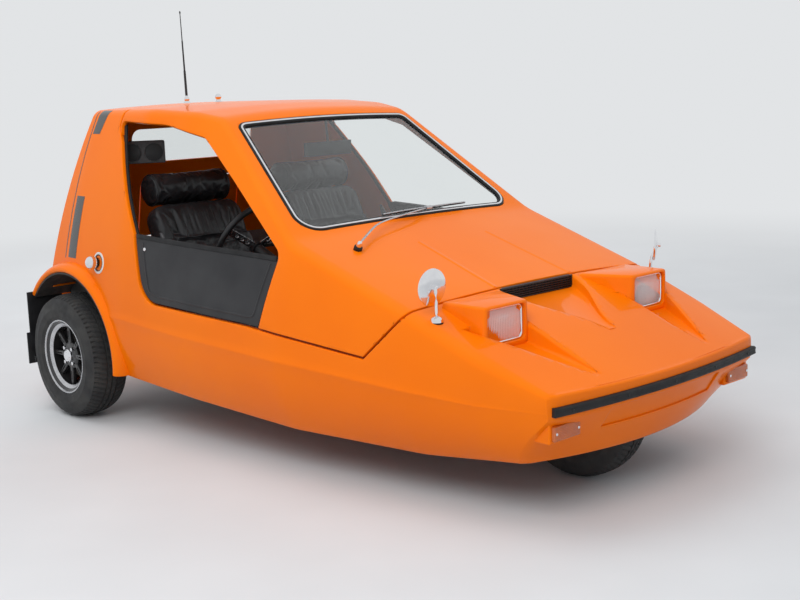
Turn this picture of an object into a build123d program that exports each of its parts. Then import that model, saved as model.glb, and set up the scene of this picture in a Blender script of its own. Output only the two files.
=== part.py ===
from build123d import *
from functools import cache
import math
import os

os.makedirs("parts", exist_ok=True)

# Three wheeled car with a lift-up canopy. Millimetres, +X to the nose, +Y to the left,
# +Z up, origin on the ground under the middle of the car.

# Overall sizes
LENGTH = 2794.0
WHEELBASE = 1956.0
FRONT_OVERHANG = 361.0
NOSE_X = LENGTH / 2
TAIL_X = NOSE_X - LENGTH
FRONT_AXLE_X = NOSE_X - FRONT_OVERHANG
REAR_AXLE_X = FRONT_AXLE_X - WHEELBASE

# Glass fibre mouldings
WALL = 18.0
SEAM_GAP = 7.0
SHOULDER_R = 46.0
LID_GAP = 6.0

# Wheels: rolling radius, tyre section width, rim radius over the flange
REAR_TYRE_R = 240.0
REAR_TYRE_W = 165.0
REAR_TYRE_OUTER_Y = 733.0
FRONT_TYRE_R = 238.0
FRONT_TYRE_W = 134.0
RIM_R = 144.0
REAR_WHEEL_Y = REAR_TYRE_OUTER_Y - REAR_TYRE_W / 2

# Rear wheel arch
ARCH_R = 315.0
ARCH_LIP = 36.0
ARCH_OUT_Y = 698.5
ARCH_X = REAR_AXLE_X - 5.0
ARCH_Z = 250.0
WELL_IN_Y = 530.0

# Where the panels change direction, from nose to tail
BOW_FRONT_X = NOSE_X - 14.0
INNER_NOSE_X = BOW_FRONT_X - 70.0
NOSE_MID_X = 1120.0
SEAM_X = 858.0
SCREEN_BASE_X = 335.0
SCREEN_TOP_X = -185.0
ROOF_FRONT_X = -330.0
ROOF_MID_X = -560.0
ROOF_REAR_X = -940.0
QUARTER_END_X = -1190.0

# Body sections: place, then half-width and height of the bottom lip, the swell under the
# crease, the crease, the belt and the shoulder, and the height of the crown on the centre line
BODY_SECTIONS = [
    (BOW_FRONT_X + 20, (440, 190), (484, 280), (498, 352), (502, 365), (500, 377), 385),
    (NOSE_MID_X, (478, 168), (552, 270), (572, 352), (570, 421), (560, 490), 507),
    (SEAM_X, (515, 146), (592, 262), (618, 366), (602, 478), (578, 590), 610),
    (SCREEN_BASE_X, (592, 147), (652, 272), (667, 388), (636, 578), (588, 765), 782),
    (SCREEN_TOP_X, (624, 170), (669, 290), (677, 405), (632, 738), (436, 1143), 1163),
    (ROOF_FRONT_X, (632, 180), (672, 300), (678, 412), (640, 738), (462, 1166), 1182),
    (ROOF_MID_X, (640, 195), (674, 312), (679, 425), (646, 738), (492, 1178), 1190),
    (ROOF_REAR_X, (640, 215), (668, 325), (672, 430), (622, 738), (470, 1174), 1188),
    (QUARTER_END_X, (620, 225), (640, 330), (644, 430), (588, 738), (440, 1170), 1184),
]

# Nose seen in plan: height, centre line, and how far it bows back at the strip's ends
STRIP_HALF = 506.0
NOSE_PLAN = [
    (90, NOSE_X - 150, 130),
    (185, NOSE_X - 90, 112),
    (334, BOW_FRONT_X, 40),
    (1400, BOW_FRONT_X, 40),
]

# Tail: slope of the upper panel, then the ledge between the wheels
TAIL_TOP = (-985.0, 1184.0)
TAIL_FOOT = (-1112.0, 590.0)
LEDGE_HALF = 500.0
LEDGE_Z = 508.0
LEDGE_BACK_X = TAIL_X + 26.0
LEDGE_BOTTOM_Z = 285.0
LEDGE_TUCK_X = -1290.0

# Canopy seam and door aperture, seen from the side
ROOF_SEAM_X = -742.0
SEAM_CORNER = (SEAM_X, 590.0)
CHEEK_FOOT = (708.0, 442.0)
CHEEK_REAR = (246.0, 480.0)
APERTURE = [
    (-742, 1137), (-482, 740), (-408, 500), (-200, 494), CHEEK_REAR,
    (305, 722), (-15, 940), (-228, 1080), (-440, 1124),
]
APERTURE_RADII = [14, 60, 120, 60, 4, 40, 300, 60, 300]

# Windscreen, on the slope from the bonnet up to the roof
SCREEN_HALF_BOTTOM = 516.0
SCREEN_HALF_TOP = 403.0
SCREEN_BELOW = 8.0
SCREEN_LENGTH = 590.0
SCREEN_R_BOTTOM = 78.0
SCREEN_R_TOP = 42.0
SEAL_WIDTH = 22.0
GLASS = 5.0

# Rear window in the tail
REAR_GLASS_HALF = 300.0
REAR_GLASS_Z = (955.0, 1092.0)
REAR_GLASS_R = 34.0

# Boot lid in the tail, under the window
LID_HALF = 250.0
LID_Z = (640.0, 880.0)
LID_R = 26.0
LID_THICK = 16.0

# Headlamp pods and the scoops in the nose skin
POD_Y = 356.0
POD_HALF = 100.0
POD_FRONT_X = 1050.0
POD_TOP_Z = 606.0
LAMP_W = 160.0
LAMP_H = 104.0
LAMP_Z = 543.0
LAMP_X = 1040.0
LAMP_DEPTH = 70.0
SCOOP_END_X = 1300.0
GRILLE_HALF = 176.0
GRILLE_X = SEAM_X + 5.0
GRILLE_FOOT_Z = 564.0
GRILLE_TOP_Z = 606.0
GRILLE_END_X = 1110.0
GRILLE_THICK = 6.0
GRILLE_SLOTS = 5

# Floor and bulkheads
FLOOR_Z = 236.0
FLOOR_THICK = 14.0
FOOT_BULKHEAD_X = 640.0
SEAT_BULKHEAD_X = -640.0
DECK_Z = 596.0
TOE_TOP_Z = 560.0
BULKHEAD_THICK = 10.0

# Engine between the footwells, its cover and the tunnel behind it
ENGINE_X0 = 120.0
ENGINE_X1 = 560.0
ENGINE_HALF = 115.0
SHAFT_HALF = 60.0
COVER_HALF = 150.0
COVER_TOP_Z = 546.0
COVER_WALL = 8.0
TUNNEL_HALF = 95.0
TUNNEL_TOP_Z = 330.0

# Chassis
RAIL_Y = 290.0
RAIL_W = 46.0
RAIL_H = 70.0
RAIL_TOP_Z = FLOOR_Z

# Steering
KINGPIN_Y = 30.0
STEER_WHEEL_R = 172.0
STEER_WHEEL_AT = (-205.0, -305.0, 672.0)
COLUMN_TILT = 24.0

# Wheel detail
SPOKES = 8
SPOKE_SET = 34.0
HUB_R = 52.0
CAP_R = 27.0

# Seats
SEAT_Y = 308.0
SEAT_HALF = 200.0
SEAT_LEAN = 27.0
SEAT_FOOT_X = -367.0
SEAT_FOOT_Z = FLOOR_Z + FLOOR_THICK
SEAT_PAD = 92.0
SEAT_BACK_LENGTH = 616.0
ROLL_R = 58.0
ROLL_HALF = 178.0

# Glass and rubber in the canopy
GLASS_SET = 4.0
GLASS_EDGE = 9.0
SEAL_PROUD = 4.0
SIDE_SCREEN = 12.0
APERTURE_INNER = [
    (-742, 1130), (-474, 738), (-400, 508), (-200, 502), (240, 488),
    (298, 720), (-22, 934), (-232, 1074), (-440, 1118),
]
APERTURE_INNER_RADII = [14, 60, 112, 60, 4, 40, 300, 60, 300]

# Canopy hinge
HINGE_X = 920.0
HINGE_Z = 568.0
HINGE_Y = 284.0
HINGE_PIN_R = 9.0
# Each arm hangs from its pin and curves back and up, so that it passes under the panel's edge
HINGE_ARM_THICK = 14.0
HINGE_BEND_IN = 96.0
HINGE_BEND_OUT = 118.0
HINGE_BEND = (-88, 24)

# Small fittings
WIPER_AT = (478.0, -418.0, 734.0)
WIPER_KNEE = (392.0, -250.0, 790.0)
WIPER_END = (321.0, 60.0, 810.0)
BLADE_START = (322.0, -160.0, 808.0)
BLADE_END = (318.0, 250.0, 812.0)
MIRROR_AT = (930.0, 527.0, 571.0)
MIRROR_R = 56.0
AERIAL_LENGTH = 352.0
PLATE_HOLE_R = 3.0
PLATE_HOLE_SPACING = 320.0
STRIP_Z = (338.0, 372.0)
STRIP_PROUD = 14.0

# Running gear
RAIL_SIDE = [
    (700, 236), (700, 166), (-690, 166), (-800, 350), (-1110, 350), (-1110, 420), (-826, 420), (-706, 236),
]
CROSS_MEMBERS = (-600, -60, 675)
DRUM_HALF = 655.0
SPRING_TOP_Z = 424.0
SPRING_Y = 400.0
ARM_PIVOT_X = 745.0
ARM_PIVOT_Z = 201.0

# Joints between the mouldings, along the crease
CREASE_SPLIT_X = 716.0
REAR_SPLIT_X = -470.0

nodes = {}


def add(name, shape):
    """Keep one piece under its node's name."""
    nodes[name] = shape


def box(x0, x1, y0, y1, z0, z1):
    """Block between two corners."""
    solid = Box(x1 - x0, y1 - y0, z1 - z0)
    return Pos((x0 + x1) / 2, (y0 + y1) / 2, (z0 + z1) / 2) * solid


def rod(start, end, radius):
    """Round bar between two points."""
    a = Vector(*start)
    b = Vector(*end)
    plane = Plane(origin=a, z_dir=b - a)
    return plane * Cylinder(radius, (b - a).length, align=(Align.CENTER, Align.CENTER, Align.MIN))


def side_prism(points, y0, y1, radii=None):
    """Outline in the side view, drawn as (x, z), pushed from y0 to y1."""
    plane = Plane(origin=(0, y1, 0), x_dir=(1, 0, 0), z_dir=(0, -1, 0))
    line = Polyline(*points, close=True) if radii is None else rounded(points, radii)
    return extrude(plane * make_face(line), amount=y1 - y0)


def rounded(points, radii):
    """Closed outline with an arc of its own radius at each corner."""
    return FilletPolyline(*points, radius=radii, close=True)


def mirrored(shape):
    """The same piece on the other side of the car."""
    return mirror(shape, about=Plane.XZ)


def inset_points(section, depth):
    """Section's points moved in by a wall's depth, with the lip carried down when it is."""
    x, lip, swell, crease, belt, shoulder, crown = section
    lean = math.atan2(belt[0] - shoulder[0], shoulder[1] - belt[1])
    slip = math.cos(lean) - (1 - math.sin(lean)) * math.tan(lean)
    drop = 90 if depth > 0 else 0
    return (
        (lip[0] - depth - drop * 0.1, lip[1] - drop),
        (swell[0] - depth, swell[1]),
        (crease[0] - depth, crease[1]),
        (belt[0] - depth, belt[1]),
        (shoulder[0] - depth * slip, shoulder[1] - depth),
        crown - depth,
    )


def body_section(section, depth):
    """Closed face across the body at one place."""
    x = section[0]
    lip, swell, crease, belt, shoulder, crown = inset_points(section, depth)

    def at(point, side):
        return (x, side * point[0], point[1])

    edges = []
    for side in (1, -1):
        edges.append(ThreePointArc(at(lip, side), at(swell, side), at(crease, side)))
        edges.append(ThreePointArc(at(crease, side), at(belt, side), at(shoulder, side)))
    edges.append(ThreePointArc(at(shoulder, 1), (x, 0, crown), at(shoulder, -1)))
    edges.append(Line(at(lip, 1), at(lip, -1)))
    face = Face(Wire(edges))
    corners = []
    for vertex in face.vertices():
        if abs(vertex.Z - shoulder[1]) < 0.01 and abs(abs(vertex.Y) - shoulder[0]) < 0.01:
            corners.append(vertex)
    radius = max(SHOULDER_R - depth, 6)
    limit = 0.35 * (shoulder[1] - crease[1]) if shoulder[1] - crease[1] < 80 else radius
    return face.fillet_2d(min(radius, limit), corners)


def nose_limit(depth):
    """Block that gives the body its bowed, tucked-under front end."""
    faces = []
    reach = 760.0
    for z, centre, bow in NOSE_PLAN:
        end = centre - bow * (reach / STRIP_HALF) ** 2
        front = ThreePointArc(
            (end - depth, -reach, z), (centre - depth, 0, z), (end - depth, reach, z)
        )
        back = Polyline((end - depth, reach, z), (-1600, reach, z), (-1600, -reach, z),
                        (end - depth, -reach, z))
        faces.append(Face(Wire([*front.edges(), *back.edges()])))
    return loft(faces, ruled=True)


def tail_x(z):
    """Where the tail's slope is at a height."""
    share = (TAIL_TOP[1] - z) / (TAIL_TOP[1] - TAIL_FOOT[1])
    return TAIL_TOP[0] + share * (TAIL_FOOT[0] - TAIL_TOP[0])


def tail_limit(depth):
    """Block that ends the body at the tail's slope."""
    return side_prism(
        [(2000, 0), (2000, 1400), (tail_x(1400) + depth, 1400), (tail_x(0) + depth, 0)],
        -800, 800,
    )


def section_at(x, front, rear):
    """Body section between two of the table's rows."""
    share = (front[0] - x) / (front[0] - rear[0])

    def between(a, b):
        if isinstance(a, tuple):
            return tuple(between(u, v) for u, v in zip(a, b))
        return a + share * (b - a)

    return (x, *(between(a, b) for a, b in zip(front[1:], rear[1:])))


@cache
def hull(depth):
    """Whole body as one solid, moved in by a depth."""
    rows = list(BODY_SECTIONS)
    if depth > 0:
        rows[0] = section_at(INNER_NOSE_X, rows[0], rows[1])
    skin = loft([body_section(row, depth) for row in rows], ruled=True)
    return skin & nose_limit(depth) & tail_limit(depth)


def ledge(depth):
    """Lower tail between the wheels."""
    open_drop = 40 if depth > 0 else 0
    profile = [
        (-1040, TAIL_FOOT[1] + 12 - depth), (TAIL_FOOT[0] - 10, TAIL_FOOT[1] - 22 - depth),
        (LEDGE_BACK_X + 40 + depth, LEDGE_Z - depth),
        (LEDGE_BACK_X + depth, LEDGE_Z - 46), (LEDGE_BACK_X + depth, 392),
        (LEDGE_TUCK_X + depth, LEDGE_BOTTOM_Z - open_drop), (-1040, LEDGE_BOTTOM_Z - open_drop),
    ]
    return side_prism(profile, -LEDGE_HALF + depth, LEDGE_HALF - depth)


def scoops(grow):
    """Hollows in the nose: one ahead of each lamp and one ahead of the grille."""
    parts = []
    for side in (1, -1):
        near = [
            (LAMP_X - 45, side * (POD_Y - 92 - grow), 488 - grow),
            (LAMP_X - 45, side * (POD_Y + 92 + grow), 488 - grow),
            (LAMP_X - 45, side * (POD_Y + 92 + grow), 700),
            (LAMP_X - 45, side * (POD_Y - 92 - grow), 700),
        ]
        far = [
            (SCOOP_END_X, side * (POD_Y - 30 - grow), 422 - grow),
            (SCOOP_END_X, side * (POD_Y + 60 + grow), 422 - grow),
            (SCOOP_END_X, side * (POD_Y + 60 + grow), 700),
            (SCOOP_END_X, side * (POD_Y - 30 - grow), 700),
        ]
        faces = [Face(Wire.make_polygon(points)) for points in (near, far)]
        parts.append(loft(faces, ruled=True))
    rear_x = GRILLE_X - grow
    rear = [
        (rear_x, GRILLE_HALF + grow, GRILLE_FOOT_Z - grow), (rear_x, -GRILLE_HALF - grow, GRILLE_FOOT_Z - grow),
        (rear_x, -GRILLE_HALF - grow, 760), (rear_x, GRILLE_HALF + grow, 760),
    ]
    front = [
        (GRILLE_END_X, 232 + grow, 512 - grow),
        (GRILLE_END_X, -232 - grow, 512 - grow),
        (GRILLE_END_X, -232 - grow, 760),
        (GRILLE_END_X, 232 + grow, 760),
    ]
    parts.append(loft([Face(Wire.make_polygon(p)) for p in (rear, front)], ruled=True))
    return parts[0] + parts[1] + parts[2]


def pod(side, depth):
    """Raised housing round one headlamp."""
    low = POD_HALF - depth
    near = [
        (POD_FRONT_X - depth, side * (POD_Y - low), 470),
        (POD_FRONT_X - depth, side * (POD_Y + low), 470),
        (POD_FRONT_X - depth, side * (POD_Y + low - 6), POD_TOP_Z - depth),
        (POD_FRONT_X - depth, side * (POD_Y - low + 6), POD_TOP_Z - depth),
    ]
    far = [
        (SEAM_X + 18, side * (POD_Y - low - 16), 470),
        (SEAM_X + 18, side * (POD_Y + low + 10), 470),
        (SEAM_X + 18, side * (POD_Y + low - 4), 607 - depth),
        (SEAM_X + 18, side * (POD_Y - low - 4), 607 - depth),
    ]
    return loft([Face(Wire.make_polygon(p)) for p in (near, far)], ruled=True)


def screen_plane():
    """Plane on the slope of the windscreen, at the foot of the glass."""
    foot = Vector(SCREEN_BASE_X, 0, BODY_SECTIONS[3][6])
    head = Vector(SCREEN_TOP_X, 0, BODY_SECTIONS[4][6])
    slope = (head - foot).normalized()
    normal = Vector(-slope.Z, 0, slope.X) * -1
    return Plane(origin=foot, x_dir=(0, 1, 0), z_dir=normal)


def screen_outline(margin):
    """Windscreen's outline on its plane, moved in by a margin."""
    up = 1 if screen_plane().y_dir.Z > 0 else -1
    lean = (SCREEN_HALF_BOTTOM - SCREEN_HALF_TOP) / SCREEN_LENGTH
    low = SCREEN_BELOW + margin
    high = SCREEN_BELOW + SCREEN_LENGTH - margin
    side = margin * math.sqrt(1 + lean * lean)
    half_low = SCREEN_HALF_BOTTOM - lean * margin - side
    half_high = SCREEN_HALF_BOTTOM - lean * (high - SCREEN_BELOW) - side
    points = [(-half_low, up * low), (half_low, up * low),
              (half_high, up * high), (-half_high, up * high)]
    bottom = SCREEN_R_BOTTOM - margin
    top = max(SCREEN_R_TOP - margin, 12)
    return make_face(rounded(points, [bottom, bottom, top, top]))


def screen_prism(margin):
    """Windscreen's outline pushed through the body."""
    plane = screen_plane()
    return extrude(plane * screen_outline(margin), amount=90, both=True)


def tail_prism(half, z0, z1, radius, margin):
    """Rounded window or lid outline pushed through the tail."""
    plane = Plane(origin=(-1600, 0, 0), x_dir=(0, 1, 0), z_dir=(1, 0, 0))
    width = 2 * (half - margin)
    height = z1 - z0 - 2 * margin
    face = RectangleRounded(width, height, max(radius - margin, 4))
    return extrude(plane * Pos(0, (z0 + z1) / 2) * face, amount=760)


def wheel_space():
    """Room taken out of the body round each rear wheel."""
    cut = None
    for side in (1, -1):
        y0, y1 = sorted((side * WELL_IN_Y, side * 800))
        drum = rod((ARCH_X, y0, ARCH_Z), (ARCH_X, y1, ARCH_Z), ARCH_R)
        t0, t1 = sorted((side * LEDGE_HALF, side * 800))
        behind = box(-1500, ARCH_X - 150, t0, t1, 0, 452)
        below = box(ARCH_X - 290, ARCH_X + ARCH_R - 4, y0, y1, 0, ARCH_Z)
        cut = drum + behind + below if cut is None else cut + drum + behind + below
    return cut


def seam_rise():
    """Slope of the cheek's front seam, which the canopy's front edge carries on across the car."""
    return (SEAM_CORNER[1] - CHEEK_FOOT[1]) / (SEAM_CORNER[0] - CHEEK_FOOT[0])


def seam_scarf(gap):
    """Room ahead of the canopy's front edge. Its face leans forward and follows the crown."""
    half, height = BODY_SECTIONS[2][5]
    crown = BODY_SECTIONS[2][6]
    sag = crown - height
    radius = (half * half + sag * sag) / (2 * sag)
    rise = seam_rise()
    edge = SEAM_X - gap * math.hypot(1, rise) / rise
    low = 40.0
    high = 200.0
    profile = make_face(Polyline((edge - low / rise, 0, crown - low), (edge + high / rise, 0, crown + high),
                                 (1600, 0, crown + high), (1600, 0, crown - low), close=True))
    axle_line = Axis((0, 0, crown - radius), (1, 0, 0))
    return revolve(profile.rotate(axle_line, -6), axis=axle_line, revolution_arc=12)


def canopy_zone(gap):
    """All that lifts with the canopy: its side view pushed across the car, less the scarf."""
    rise = seam_rise()
    reach = 70.0
    corner_z = SEAM_CORNER[1] + reach * rise + gap * math.hypot(1, rise)
    points = [
        (ROOF_SEAM_X + gap, 1400), (SEAM_X + reach, 1400), (SEAM_X + reach, corner_z),
        (CHEEK_FOOT[0] - 0.38 * gap, CHEEK_FOOT[1] + 1.03 * gap), (CHEEK_REAR[0] - 60, CHEEK_REAR[1] + 5 + gap),
        (-100, 560), (-420, 760), (ROOF_SEAM_X + gap, 1120),
    ]
    return side_prism(points, -800, 800) - seam_scarf(gap)


def door_cut(side):
    """Door aperture through one side of the body."""
    y0, y1 = sorted((side * 330, side * 800))
    return side_prism(APERTURE, y0, y1, APERTURE_RADII)


def hinge_arm(y0, y1):
    """Curved arm of the canopy's hinge, hanging from its pin."""
    def on_bend(radius, degrees):
        angle = math.radians(degrees)
        return (HINGE_X - radius * math.cos(angle), HINGE_Z + radius * math.sin(angle))

    low, high = HINGE_BEND
    middle = (low + high) / 2
    eye = HINGE_PIN_R + 4
    edges = [
        Line(on_bend(eye, 180), on_bend(HINGE_BEND_OUT, low)),
        ThreePointArc(on_bend(HINGE_BEND_OUT, low), on_bend(HINGE_BEND_OUT, middle), on_bend(HINGE_BEND_OUT, high)),
        Line(on_bend(HINGE_BEND_OUT, high), on_bend(HINGE_BEND_IN, high)),
        ThreePointArc(on_bend(HINGE_BEND_IN, high), on_bend(HINGE_BEND_IN, middle), on_bend(HINGE_BEND_IN, low + 10)),
        Line(on_bend(HINGE_BEND_IN, low + 10), on_bend(eye, 0)),
        ThreePointArc(on_bend(eye, 0), on_bend(eye, 90), on_bend(eye, 180)),
    ]
    plane = Plane(origin=(0, y1, 0), x_dir=(1, 0, 0), z_dir=(0, -1, 0))
    return extrude(plane * make_face(Wire(edges)), amount=y1 - y0)


def floor_slab(x0, x1, z0, z1):
    """Flat panel joined to the walls all round."""
    return box(x0, x1, -760, 760, z0, z1) & hull(WALL / 2)


def rim(radius, width, face_y, side):
    """Alloy wheel on the Y axis: stepped barrel, eight tapered spokes, hub and centre cap."""
    half = width / 2
    drop = radius - 22
    outside = [
        (face_y + half - 8, radius), (face_y + half, radius), (face_y + half, radius - 4),
        (face_y + half - 14, drop + 4), (face_y + half - 20, drop - 7),
        (face_y - half + 12, drop - 7), (face_y - half, radius - 6), (face_y - half, radius),
        (face_y - half + 8, radius), (face_y - half + 16, drop), (face_y + half - 26, drop + 2),
    ]
    profile = make_face(Polyline(*[(y, r) for y, r in outside], close=True))
    plane = Plane(origin=(0, 0, 0), x_dir=(0, 1, 0), z_dir=(1, 0, 0))
    barrel = revolve(plane * profile, axis=Axis.Y, revolution_arc=360)
    seat = face_y + SPOKE_SET
    spoke = box(26, drop - 4, seat - 8, seat + 8, -9, 9) - box(60, drop - 24, seat - 9, seat + 9, -2.5, 2.5)
    star = barrel + rod((0, seat - 16, 0), (0, seat + 10, 0), HUB_R)
    for index in range(SPOKES):
        star += Rot(0, index * 360 / SPOKES, 0) * spoke
    star += rod((0, seat + 9, 0), (0, seat + 26, 0), CAP_R)
    return star if side > 0 else mirrored(star)


def tyre(radius, width, rim_radius):
    """Tyre on the Y axis with rounded shoulders and a bead that seats on the rim."""
    half = width / 2
    bead = half - 12
    points = [
        (-bead, rim_radius), (-half, rim_radius + 34), (-half + 6, radius - 26),
        (-half + 24, radius - 5), (0, radius), (half - 24, radius - 5), (half - 6, radius - 26),
        (half, rim_radius + 34), (bead, rim_radius), (bead - 14, rim_radius),
        (half - 16, rim_radius + 40), (half - 30, radius - 24), (-half + 30, radius - 24),
        (-half + 16, rim_radius + 40), (-bead + 14, rim_radius),
    ]
    plane = Plane(origin=(0, 0, 0), x_dir=(0, 1, 0), z_dir=(1, 0, 0))
    face = make_face(Polyline(*points, close=True))
    return revolve(plane * face, axis=Axis.Y, revolution_arc=360)


def arch_ring(r0, r1, y0, y1, start, end):
    """Part of a ring about the rear arch's centre, between two angles from the front."""
    ring = rod((ARCH_X, y0, ARCH_Z), (ARCH_X, y1, ARCH_Z), r1)
    ring -= rod((ARCH_X, y0, ARCH_Z), (ARCH_X, y1, ARCH_Z), r0)
    far = 900
    points = [(ARCH_X, ARCH_Z)]
    steps = 5
    for index in range(steps + 1):
        angle = math.radians(start + (end - start) * index / steps)
        points.append((ARCH_X + far * math.cos(angle), ARCH_Z + far * math.sin(angle)))
    return ring & side_prism(points, min(y0, y1) - 1, max(y0, y1) + 1)


def seat_back(side):
    """Reclined back with its roll-shaped head restraint."""
    lean = math.radians(SEAT_LEAN)
    foot = Vector(SEAT_FOOT_X, 0, SEAT_FOOT_Z)
    along = Vector(-math.sin(lean), 0, math.cos(lean))
    across = Vector(math.cos(lean), 0, math.sin(lean))
    front = foot + across * SEAT_PAD
    top = SEAT_BACK_LENGTH
    sill = front - along * ((front.Z - foot.Z) / along.Z)
    corners = [foot, sill, front + along * top, foot + along * top]
    slab = side_prism([(c.X, c.Z) for c in corners], -SEAT_HALF, SEAT_HALF, [8, 8, 34, 20])
    roll_at = foot + along * (top + ROLL_R - 8) + across * (SEAT_PAD / 2 + 6)
    roll = rod((roll_at.X, -ROLL_HALF, roll_at.Z), (roll_at.X, ROLL_HALF, roll_at.Z), ROLL_R)
    return Pos(0, side * SEAT_Y, 0) * (slab + roll)


def seat_base(side):
    """Seat cushion, tilted up to the front."""
    floor_top = FLOOR_Z + FLOOR_THICK
    rise = 82
    rear = SEAT_FOOT_X + SEAT_PAD / math.cos(math.radians(SEAT_LEAN)) + 4
    points = [(rear, floor_top), (34, floor_top), (44, 340), (0, 368),
              (rear - rise * math.tan(math.radians(SEAT_LEAN)) + 3, floor_top + rise)]
    return Pos(0, side * SEAT_Y, 0) * side_prism(points, -SEAT_HALF, SEAT_HALF, [6, 8, 24, 40, 12])


def nose_band(depth, levels):
    """Slice of the nose's plan between two heights, for the strip along its edge."""
    low, high = levels
    return (nose_limit(depth) & box(NOSE_X - 120, NOSE_X + 40, -STRIP_HALF, STRIP_HALF, low, high))


def build_shell():
    """Outer skin with its scoops and pods, less the inside."""
    skin = hull(0) - scoops(0) + pod(1, 0) + pod(-1, 0) + ledge(0)
    space = hull(WALL) - scoops(WALL) + ledge(WALL)
    space += pod(1, WALL) + pod(-1, WALL)
    return skin - space


def below_belt():
    """Room inside the rear quarters that a bulkhead fills without running into them."""
    low = box(-1000, 0, -800, 800, 0, 424)
    return low + hull(WALL)


def lamp_cut(side):
    """Opening in the front of a pod for its lamp."""
    y = side * POD_Y
    return box(LAMP_X - LAMP_DEPTH - 20, POD_FRONT_X + 60, y - LAMP_W / 2, y + LAMP_W / 2,
               LAMP_Z - LAMP_H / 2, LAMP_Z + LAMP_H / 2)


shell = build_shell()
half_gap = SEAM_GAP / 2
doors = door_cut(1) + door_cut(-1)

canopy = (shell & canopy_zone(half_gap)) - doors - screen_prism(0)
add("canopy_shell", canopy)

fixed = shell - canopy_zone(-half_gap) - doors - wheel_space() - lamp_cut(1) - lamp_cut(-1)
fixed -= tail_prism(REAR_GLASS_HALF, *REAR_GLASS_Z, REAR_GLASS_R, 0)
fixed -= tail_prism(LID_HALF, *LID_Z, LID_R, 0)
fixed -= box(SEAM_X - 60, GRILLE_X + 6, -GRILLE_HALF + 8, GRILLE_HALF - 8, GRILLE_FOOT_Z + 6, 640)
nose_zone = side_prism([(CREASE_SPLIT_X, 372), (CREASE_SPLIT_X, 1400), (1500, 1400), (1500, 350)], -800, 800)
rear_zone = side_prism([(-1500, 0), (-1000, 0), (-1000, 430), (REAR_SPLIT_X, 424), (REAR_SPLIT_X, 1400),
                        (-1500, 1400)], -800, 800)
lower = fixed - nose_zone - rear_zone
pan = floor_slab(SEAT_BULKHEAD_X, FOOT_BULKHEAD_X, FLOOR_Z, FLOOR_Z + FLOOR_THICK)
pan -= box(ENGINE_X0 - 20, ENGINE_X1 + 40, -ENGINE_HALF - 22, ENGINE_HALF + 22, 0, 400)
pan -= box(SEAT_BULKHEAD_X - 10, ENGINE_X0, -SHAFT_HALF, SHAFT_HALF, 0, 400)
lower += pan
lower += floor_slab(FOOT_BULKHEAD_X, FOOT_BULKHEAD_X + BULKHEAD_THICK, FLOOR_Z, TOE_TOP_Z) & hull(WALL + 6)
wall = floor_slab(SEAT_BULKHEAD_X - BULKHEAD_THICK, SEAT_BULKHEAD_X, FLOOR_Z, DECK_Z) & below_belt()
wall -= wheel_space()
wall -= box(-900, 0, -SHAFT_HALF, SHAFT_HALF, 0, 300)
lower += wall
add("tub", lower)
add("nose_panel", fixed & nose_zone)
add("rear_body", fixed & rear_zone)


fixed_skin = hull(0)

# Windscreen and its rubber, in the canopy
screen_hull = hull(GLASS_SET) - hull(GLASS_SET + GLASS)
add("windscreen_glass", screen_hull & screen_prism(GLASS_EDGE))
seal_hull = hull(-SEAL_PROUD) - hull(GLASS_SET + GLASS + 5)
seal = (seal_hull & screen_prism(0)) - screen_prism(SEAL_WIDTH)
add("windscreen_seal", seal - nodes["windscreen_glass"])

# Lower side screens, which lift with the canopy
screen_band = hull(6) - hull(6 + SIDE_SCREEN)
screen_top = [(-520, 741), (308, 712), (330, 600), (330, 440), (-520, 440)]
for name, side in (("side_screen_right", -1), ("side_screen_left", 1)):
    outline = side_prism(APERTURE_INNER, *sorted((side * 400, side * 800)), APERTURE_INNER_RADII)
    half = box(-600, 400, *sorted((side * 1, side * 800)), 400, 800)
    add(name, screen_band & outline & side_prism(screen_top, -800, 800) & half)

# Canopy hinges: curved arms in the lamp pods, on pins in brackets braced from the chassis
arms = None
brackets = None
foot_z = HINGE_Z - HINGE_BEND_OUT - 2
for side in (1, -1):
    y0, y1 = sorted((side * HINGE_Y, side * (HINGE_Y + HINGE_ARM_THICK)))
    arm = hinge_arm(y0, y1)
    y0, y1 = sorted((side * (HINGE_Y - 8), side * (HINGE_Y + HINGE_ARM_THICK + 8)))
    arm += rod((HINGE_X, y0, HINGE_Z), (HINGE_X, y1, HINGE_Z), HINGE_PIN_R)
    arms = arm if arms is None else arms + arm
    stand = box(HINGE_X + 10, HINGE_X + 40, y0, y1, foot_z - 10, foot_z)
    for offset in (-8, HINGE_ARM_THICK + 3):
        near = side * (HINGE_Y + offset)
        y0, y1 = sorted((near, near + side * 5))
        plate = side_prism([(HINGE_X + 10, foot_z), (HINGE_X + 40, foot_z), (HINGE_X + 16, HINGE_Z + 12),
                            (HINGE_X - 14, HINGE_Z + 12)], y0, y1)
        stand += plate - rod((HINGE_X, y0 - 1, HINGE_Z), (HINGE_X, y1 + 1, HINGE_Z), HINGE_PIN_R + 0.3)
    stand += rod((HINGE_X + 25, side * RAIL_Y, foot_z - 5), (690, side * RAIL_Y, RAIL_TOP_Z - 10), 13)
    brackets = stand if brackets is None else brackets + stand
add("canopy_hinge", arms & (hull(WALL) + pod(1, WALL) + pod(-1, WALL)))

# Wiper and mirrors
wiper = rod(WIPER_AT, (WIPER_AT[0] - 12, WIPER_AT[1], WIPER_AT[2] + 26), 11)
wiper += rod((WIPER_AT[0] - 10, WIPER_AT[1], WIPER_AT[2] + 22), WIPER_KNEE, 5)
wiper += rod(WIPER_KNEE, WIPER_END, 4)
wiper += rod(BLADE_START, BLADE_END, 6)
add("wiper", wiper - hull(0))

mirror_arm = rod((-150, 0, 1150), (-138, 0, 1032), 5)
mirror_head = box(-146, -132, -110, 110, 985, 1037)
add("interior_mirror", (mirror_arm + mirror_head) & hull(WALL))

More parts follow.
